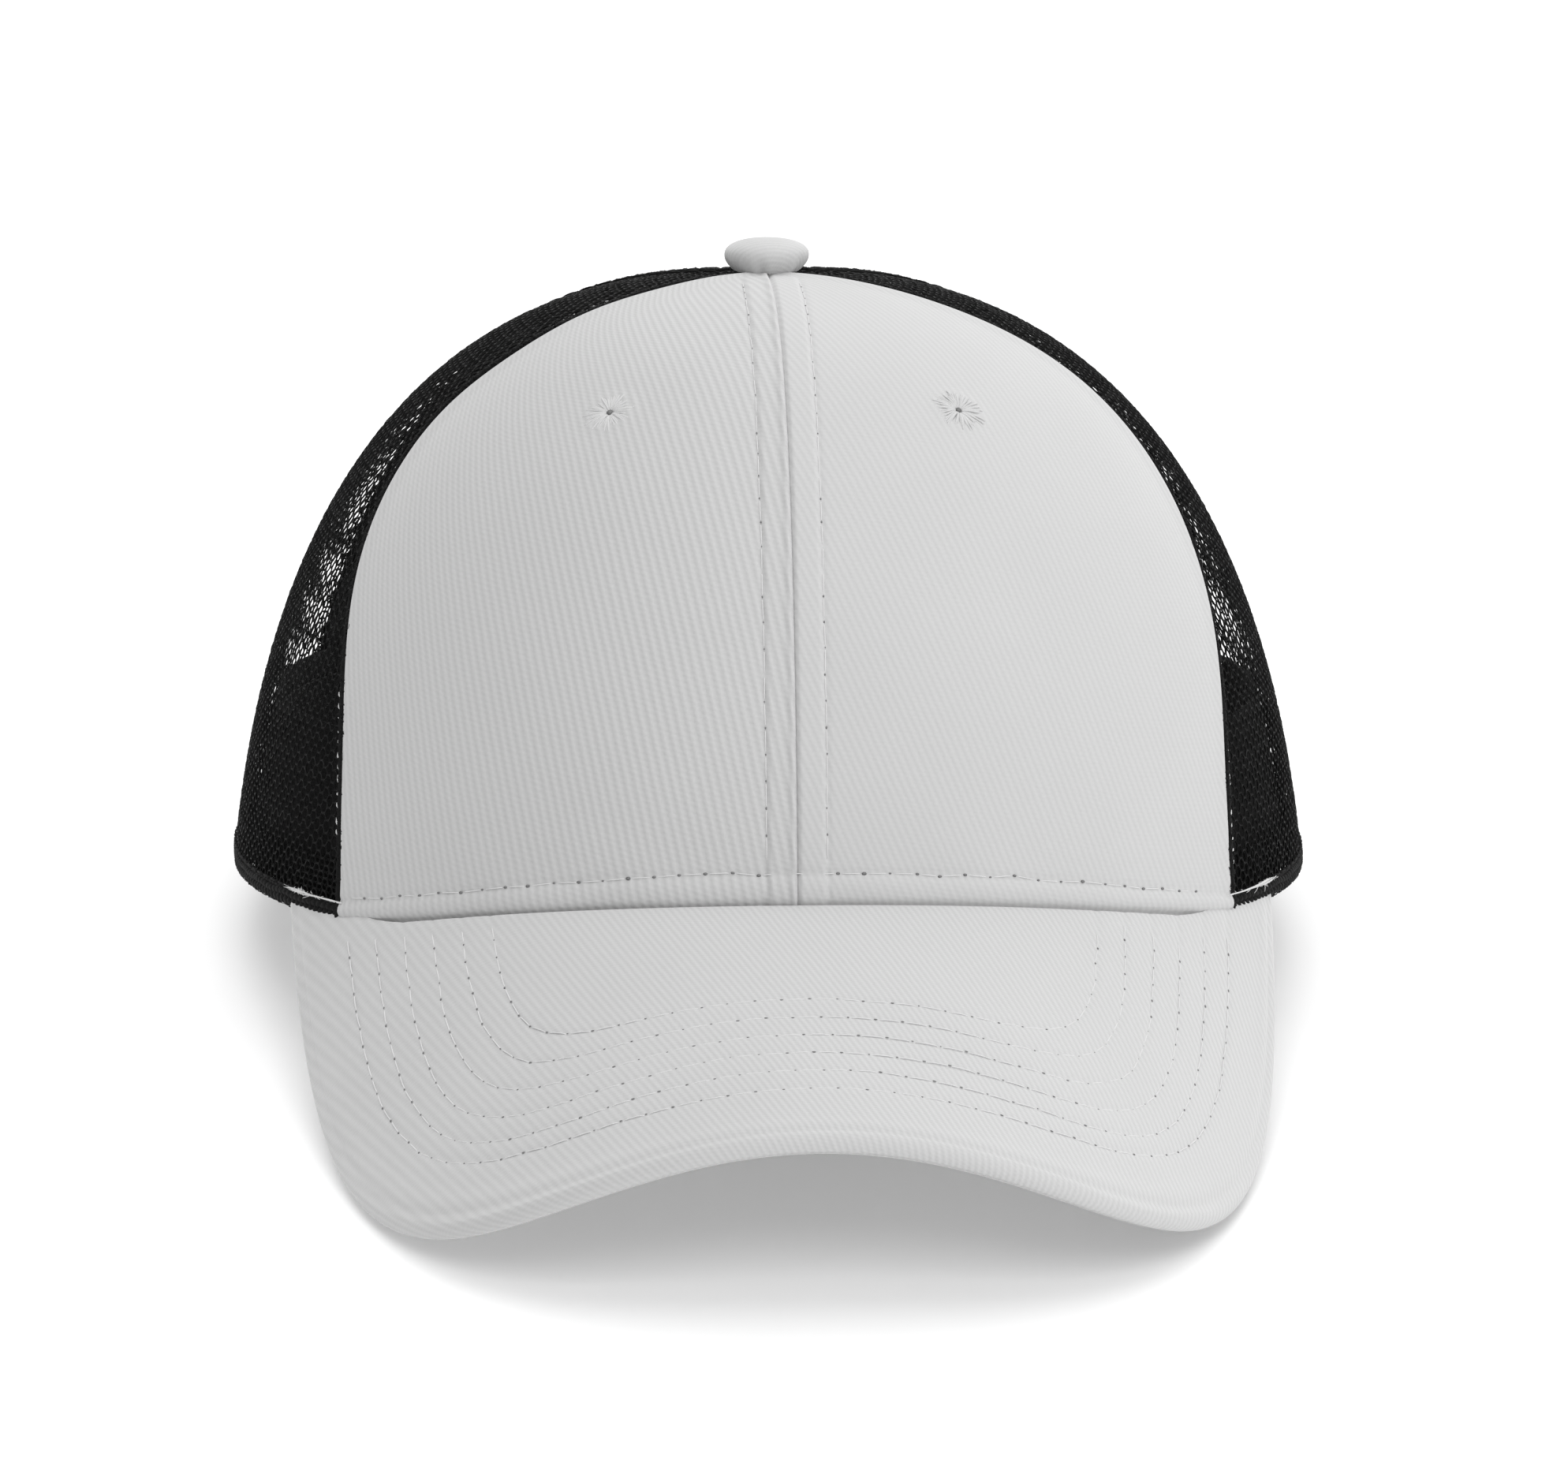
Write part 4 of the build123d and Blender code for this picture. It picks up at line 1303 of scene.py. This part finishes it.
# ---- button and eyelets ----
def button():
    """A cloth-covered button: a flat dome whose cloth is pleated under its rim."""
    knots_r = [0.0, 2.0, 3.8, 5.2, 6.2, 6.85, BUTTON_RADIUS, 6.85, 6.35, 5.7, 5.2]
    knots_z = [5.4, 5.35, 5.12, 4.7, 4.2, 3.5, 2.7, 1.9, 1.1, 0.4, 0.05]
    path = np.linspace(0, 1, 60)
    given = np.linspace(0, 1, len(knots_r))
    radius, height = np.interp(path, given, knots_r), np.interp(path, given, knots_z)
    kernel = np.array([1, 2, 3, 2, 1]) / 9
    for _ in range(3):
        radius[2:-2] = np.convolve(radius, kernel, "valid")
        height[2:-2] = np.convolve(height, kernel, "valid")
    sides = 160
    turn = np.linspace(0, 2 * math.pi, sides, endpoint=False)[None]
    pull = ease(path, 0.45, 0.95)[:, None]
    pleat = 0.13 * pull * (np.sin(11 * turn + 0.6) + 0.6 * np.sin(17 * turn + 2.0))
    rings = []
    for depth in (0.0, 0.5):
        r = np.maximum(radius[:, None] - depth + pleat * (1 if depth == 0 else 0.3), 0.02)
        sunk = height - depth * ease(path, 0.8, 0.4)
        z = np.where(radius < 6.0, sunk, height)[:, None]
        grid = np.stack([r * np.sin(turn), -r * np.cos(turn), BUTTON_SEAT + z + 0 * turn], -1)
        rings.append(grid)
    outer, inner = rings
    rows = len(path)
    count = rows * sides
    top = grid_faces(rows, sides, wrap=True)[:, ::-1]
    first, last = np.arange(sides), np.arange(sides) + (rows - 1) * sides
    after = np.roll(np.arange(sides), -1)
    lip = np.stack([last, last[after], last[after] + count, last + count], -1)
    caps = np.stack([first, (first + count)[::-1]])
    points = np.concatenate([outer.reshape(-1, 3), inner.reshape(-1, 3)])
    distance = arc_along(outer[:, :1], 0)
    flat = np.stack([distance * np.sin(turn), -distance * np.cos(turn)], -1).reshape(-1, 2)
    piece = make(
        "button_cloth", points, [np.concatenate([top, top[:, ::-1] + count, lip]), caps],
        TWILL["button"], "white_twill", cloth=np.concatenate([flat, flat]), stands_for=["button_cover"],
    )


def eyelet(side, sign, seed):
    """Embroidered eyelet: overlapping radial stitches round a small hole."""
    draw = np.random.default_rng(seed)
    centre = dome(sign * EYELET_AZIMUTH, EYELET_RISE)
    normal = dome_normal(np.array(sign * EYELET_AZIMUTH), np.array(EYELET_RISE))
    east = unit(dome(sign * EYELET_AZIMUTH + 0.1, EYELET_RISE) - centre)
    north = np.cross(normal, east)
    threads = 96
    turn = np.arange(threads) / threads * 2 * math.pi + draw.normal(0, 0.06, threads)
    lean = turn + draw.normal(0.16, 0.12, threads)
    inner = draw.uniform(0.35, 0.6, threads)
    outer = EYELET_RADIUS * draw.uniform(0.85, 1.2, threads)
    inward = np.cos(turn)[:, None] * east + np.sin(turn)[:, None] * north
    outward = np.cos(lean)[:, None] * east + np.sin(lean)[:, None] * north
    layer = draw.uniform(0.0, 0.22, threads)[:, None]
    starts = centre + inward * inner[:, None] + normal * (layer - 0.45)
    ends = centre + outward * outer[:, None] + normal * (layer - 0.22)
    profile = [(0.0, -0.25, 0.8), (0.1, 0.12, 1.0), (0.35, 0.26, 1.05)]
    profile += [(0.65, 0.20, 1.0), (0.9, 0.05, 0.9), (1.0, -0.15, 0.6)]
    points, faces = tubes(starts, ends, np.broadcast_to(normal, starts.shape), 0.16, profile)
    make(
        f"eyelet_embroidery_{side}", points, faces, EYELET_THREAD, "white_thread",
        stands_for=[f"eyelet_{side}"],
    )
    # The hole: a narrow cup in the dark needle-hole colour, painted shade inside the eyelet.
    sides = 20
    around = np.arange(sides) / sides * 2 * math.pi
    spokes = np.cos(around)[:, None] * east + np.sin(around)[:, None] * north
    throat = [(0.5, -0.05), (0.42, -0.15), (0.36, -0.6), (0.36, -1.2), (0.02, -1.25)]
    rings = np.concatenate([centre + spokes * r + normal * h for r, h in throat])
    quads = grid_faces(len(throat), sides, wrap=True)[:, ::-1]
    caps = np.stack([np.arange(sides), (np.arange(sides) + (len(throat) - 1) * sides)[::-1]])
    make(f"eyelet_hole_shade_{side}", rings, [quads, caps], NEEDLE_SHADOW, "white_thread")


# ---- seams on the outside of the net ----
def temple_edge(side, sign):
    """The knitted selvedge that stands beside the white panel, and the white ties beside it."""
    rises = np.linspace(0.0, APEX_RISE - 0.01, 900)
    seam = sign * front_seam(rises)
    path = dome(seam, rises)
    distance = arc_along(path[:, None], 0)[:, 0]
    draw = np.random.default_rng(71 + sign)
    fade = ease(rises, 0.99, 0.9) * 0.5 + 0.5
    parts = []
    for offset, depth, size, phase in ((0.55, 0.05, 0.46, 0.0), (1.15, 0.2, 0.36, 1.1)):
        wander = 0.12 * waves(distance, 0 * distance, 72 + int(offset * 10), 9)
        beside = azimuth_beside(lambda r: sign * front_seam(r), rises, sign * offset)
        turn = degrees_per_mm(path, 0.4)
        knots = np.abs(np.sin(distance * math.pi / NET_ROW + phase))
        radii = size * (0.72 + 0.42 * knots) * fade * (1 + 0.1 * draw.normal(size=len(rises)))
        line = dome(beside + wander * turn, rises, depth - 0.1 * knots)
        parts.append(long_tube(line, dome_normal(beside, rises), radii, sides=7))
    loops = 520
    rise = draw.uniform(0.01, 0.93, loops)
    starts_az = sign * front_seam(rise)
    turn = degrees_per_mm(dome(starts_az, rise), 0.4)
    across = draw.uniform(-0.75, 0.9, (2, loops)) * sign * turn
    tall = draw.normal(0, 0.7, loops) / RISE_LENGTH
    starts = dome(starts_az + across[0], rise, -0.25)
    ends = dome(starts_az + across[1] + sign * 0.5 * turn, rise + tall, -0.1)
    profile = [(0.0, -0.3, 0.6), (0.25, 0.18, 1.0), (0.6, 0.26, 1.0), (1.0, -0.3, 0.6)]
    parts.append(tubes(starts, ends, dome_normal(starts_az, rise), 0.1, profile, sides=5))
    make_joined(f"temple_selvedge_{side}", parts, KNIT, "black_mesh")
    marks = np.arange(6.0, distance[-1] * 0.86, NET_ROW)
    marks = marks + draw.normal(0, 0.25, len(marks))
    patchy = waves(marks, 0 * marks, 75 + sign, 22)
    marks = marks[patchy > -0.25]
    rise = np.interp(marks, distance, rises)
    centre = azimuth_beside(lambda r: sign * front_seam(r), rise, sign * 1.75)
    slant = draw.normal(0, 0.18, len(marks)) / RISE_LENGTH
    starts = dome(centre, rise - 0.40 / RISE_LENGTH - slant, 0.25)
    ends = dome(centre + sign * 0.12, rise + 0.40 / RISE_LENGTH + slant, 0.25)
    profile = [(0.0, -0.2, 0.6), (0.3, 0.05, 1.0), (0.7, 0.05, 1.0), (1.0, -0.2, 0.6)]
    size = draw.uniform(0.12, 0.24, len(marks))
    points, faces = tubes(starts, ends, dome_normal(centre, rise), size, profile)
    make(f"temple_ties_{side}", points, faces, WHITE_THREAD, "white_thread")


def net_seam(name, azimuth, low, high):
    """A raised seam between two net panels, with a row of stitches on each side."""
    rises = np.linspace(low, high, 700)
    path = dome(azimuth, rises)
    distance = arc_along(path[:, None], 0)[:, 0]
    draw = np.random.default_rng(300 + int(azimuth))
    parts = []
    knots = np.abs(np.sin(distance * math.pi / NET_ROW))
    for offset in (-0.55, 0.55):
        beside = azimuth_beside(azimuth, rises, offset)
        radii = (0.42 + 0.16 * knots) * (1 + 0.08 * draw.normal(size=len(rises)))
        parts.append(long_tube(dome(beside, rises, 0.22), dome_normal(beside, rises), radii, sides=7))
    for offset in (-3.6, 3.6):
        beside = azimuth_beside(azimuth, rises, offset)
        path = dome(beside, rises, -0.02)
        parts.append(stitches(path, dome_normal(beside, rises), pitch=3.4, gap=0.5, radius=0.16)[0])
    make_joined(name, parts, KNIT, "black_mesh")


def hem_edge():
    """The hem's rolled lower edge, its stitches, and the white thread with its lint."""
    for side, sign in SIDES:
        azimuths = sign * np.linspace(SEAM_RIM - 1.4, 148.5, 900)
        path = dome(azimuths, 0.0)
        distance = arc_along(path[:, None], 0)[:, 0]
        draw = np.random.default_rng(91 + sign)
        normal = dome_normal(azimuths, 0.02 + 0 * azimuths)
        rolls = []
        for height, depth, size, seed in HEM_ROLLS:
            knots = np.abs(np.sin(distance * math.pi / NET_COLUMN + seed))
            uneven = 0.16 * waves(distance, 0 * distance, seed, 11) + 0.05 * draw.normal(size=len(distance))
            line = dome(azimuths, rise_at(np.maximum(height + uneven, 0)), depth)
            swell = np.interp(distance, [0, 3, 30, 60], [0.7, 1.0, 1.0, 0.8])
            rolls.append(long_tube(line, normal, size * swell * (0.86 + 0.2 * knots), sides=8))
        rises = rise_at(BAND_STITCH_SIDE) + 0 * azimuths
        far = distance > THREAD_REACH
        rolls.append(stitches(dome(azimuths, rises, -0.02)[far], normal[far], pitch=3.6, radius=0.17)[0])
        make_joined(f"hem_roll_{side}", rolls, KNIT, "black_mesh")
        hem_thread(side, sign, azimuths, distance, draw)


def hem_thread(side, sign, azimuths, distance, draw):
    """The white thread that runs on from the front panel's row onto the hem, and frays out."""
    shown = (distance > 1.2) & (distance < THREAD_REACH)
    line_azimuths, run = azimuths[shown], distance[shown]
    turn = degrees_per_mm(dome(line_azimuths, 0.05), 0.4)
    parts = []
    for strand in range(3):
        drift = 0.16 * waves(run, 0 * run + strand * 7, 95 + strand + sign, 9) + 0.10 * (strand - 1)
        frayed = ease(run, 9, 16)
        rises = rise_at(BAND_STITCH_SIDE + drift * (0.4 + 1.3 * frayed))
        thick = 0.10 + 0.09 * frayed * (0.6 + 0.4 * waves(run, 0 * run, 99 + strand, 3))
        taper = np.clip((THREAD_REACH - 1.5 * strand - run) / 3, 0.12, 1)
        line = dome(line_azimuths, rises, -0.42 - 0.05 * strand)
        normal = dome_normal(line_azimuths, rises)
        parts.append(long_tube(line, normal, np.maximum(thick, 0.08) * taper, sides=7))
    fibres = 60
    spot = np.concatenate([draw.uniform(2, 19, 22), draw.normal(14.5, 2.2, fibres - 22)])
    azimuth = np.interp(spot, run, line_azimuths)
    across = draw.normal(0, 1.0, fibres) * turn.mean()
    height = BAND_STITCH_SIDE + draw.normal(0, 0.16, fibres)
    starts = dome(azimuth, rise_at(height), -0.42)
    ends = dome(azimuth + across, rise_at(height + draw.normal(0, 0.32, fibres)), -0.42)
    profile = [(0.0, 0.0, 0.6), (0.4, 0.14, 1.0), (0.75, 0.1, 0.8), (1.0, 0.0, 0.4)]
    parts.append(tubes(starts, ends, dome_normal(azimuth, rise_at(height)), 0.05, profile, sides=5))
    make_joined(f"hem_white_thread_{side}", parts, WHITE_THREAD, "white_thread")


# ---- what stays of the CAD ----
def dress_cad():
    for name, material in (("visor_board", BOARD), ("button_shell", METAL), ("button_prong", METAL)):
        mesh = frame["nodes"][name].data
        mesh.materials.clear()
        mesh.materials.append(material)


# ---- studio ----
def studio():
    world = bpy.data.worlds.new("studio_white")
    bpy.context.scene.world = world
    world.use_nodes = True
    world.node_tree.nodes["Background"].inputs["Color"].default_value = (1, 1, 1, 1)
    world.node_tree.nodes["Background"].inputs["Strength"].default_value = WORLD_STRENGTH
    reach, cells = 4.0, 8
    spots = np.linspace(-reach, reach, cells + 1)
    points = [(x, y, 0.0) for y in spots for x in spots]
    mesh = bpy.data.meshes.new("floor")
    mesh.from_pydata(points, [], grid_faces(cells + 1, cells + 1).tolist())
    paper, _, shader = base_material("paper", 0.9, Specular_IOR_Level=0.1)
    shader.inputs["Base Color"].default_value = PAPER
    mesh.materials.append(paper)
    floor = bpy.data.objects.new("floor", mesh)
    bpy.context.scene.collection.objects.link(floor)
    for name, place, target, extent, watts, shadow in LAMPS:
        light = bpy.data.lights.new(name, "AREA")
        light.shape = "SQUARE"
        light.size = extent
        light.energy = watts
        light.use_shadow = shadow
        lamp = bpy.data.objects.new(name, light)
        lamp.location = place
        lamp.rotation_mode = "QUATERNION"
        lamp.rotation_quaternion = (Vector(target) - Vector(place)).to_track_quat("-Z", "Y")
        bpy.context.scene.collection.objects.link(lamp)
    bpy.context.scene.view_settings.view_transform = "Standard"


def camera():
    azimuth, elevation = math.radians(CAMERA_AZIMUTH), math.radians(CAMERA_ELEVATION)
    roll = math.radians(CAMERA_ROLL)
    focus = Vector(stand(CAMERA_FOCUS))
    level_out = math.cos(elevation)
    back = Vector((math.sin(azimuth) * level_out, -math.cos(azimuth) * level_out, math.sin(elevation)))
    turn = (-back).to_track_quat("-Z", "Y").to_matrix() @ Matrix.Rotation(roll, 3, "Z")
    right, up = turn @ Vector((1, 0, 0)), turn @ Vector((0, 1, 0))
    lens = bpy.data.cameras.new("camera")
    lens.sensor_width = CAMERA_SENSOR
    lens.lens = CAMERA_LENS
    lens.clip_start, lens.clip_end = 0.05, 50
    eye = bpy.data.objects.new("camera", lens)
    eye.rotation_mode = "QUATERNION"
    eye.rotation_quaternion = turn.to_quaternion()
    eye.location = focus + back * CAMERA_DISTANCE + right * CAMERA_SHIFT[0] * MM - up * CAMERA_SHIFT[1] * MM
    bpy.context.scene.collection.objects.link(eye)
    bpy.context.scene.camera = eye


for side, sign in SIDES:
    front_panel(side, sign)
    buckram(side, sign)
    eyelet(side, sign, 100 + sign)
    temple_edge(side, sign)
front_stitching()
visor_cover("visor_top_cloth", "visor_top_cover", True, TWILL["visor"], 118, 1.0)
visor_cover("visor_under_cloth", "visor_under_cover", False, TWILL["under"], 58, 0.96)
visor_stitching(True)
visor_stitching(False)
net_panels()
seam_tapes()
sweatband()
rear_binding()
straps()
button()
net_seam("side_seam_left", -REAR_SEAM, 0.01, SEAM_TOP)
net_seam("side_seam_right", REAR_SEAM, 0.01, SEAM_TOP)
arch_top = float(rise_at(ARCH_SPRING + ARCH_HALF_WIDTH + BINDING_WIDTH))
net_seam("rear_seam", 180.0, arch_top, SEAM_TOP)
hem_edge()
dress_cad()
studio()
camera()
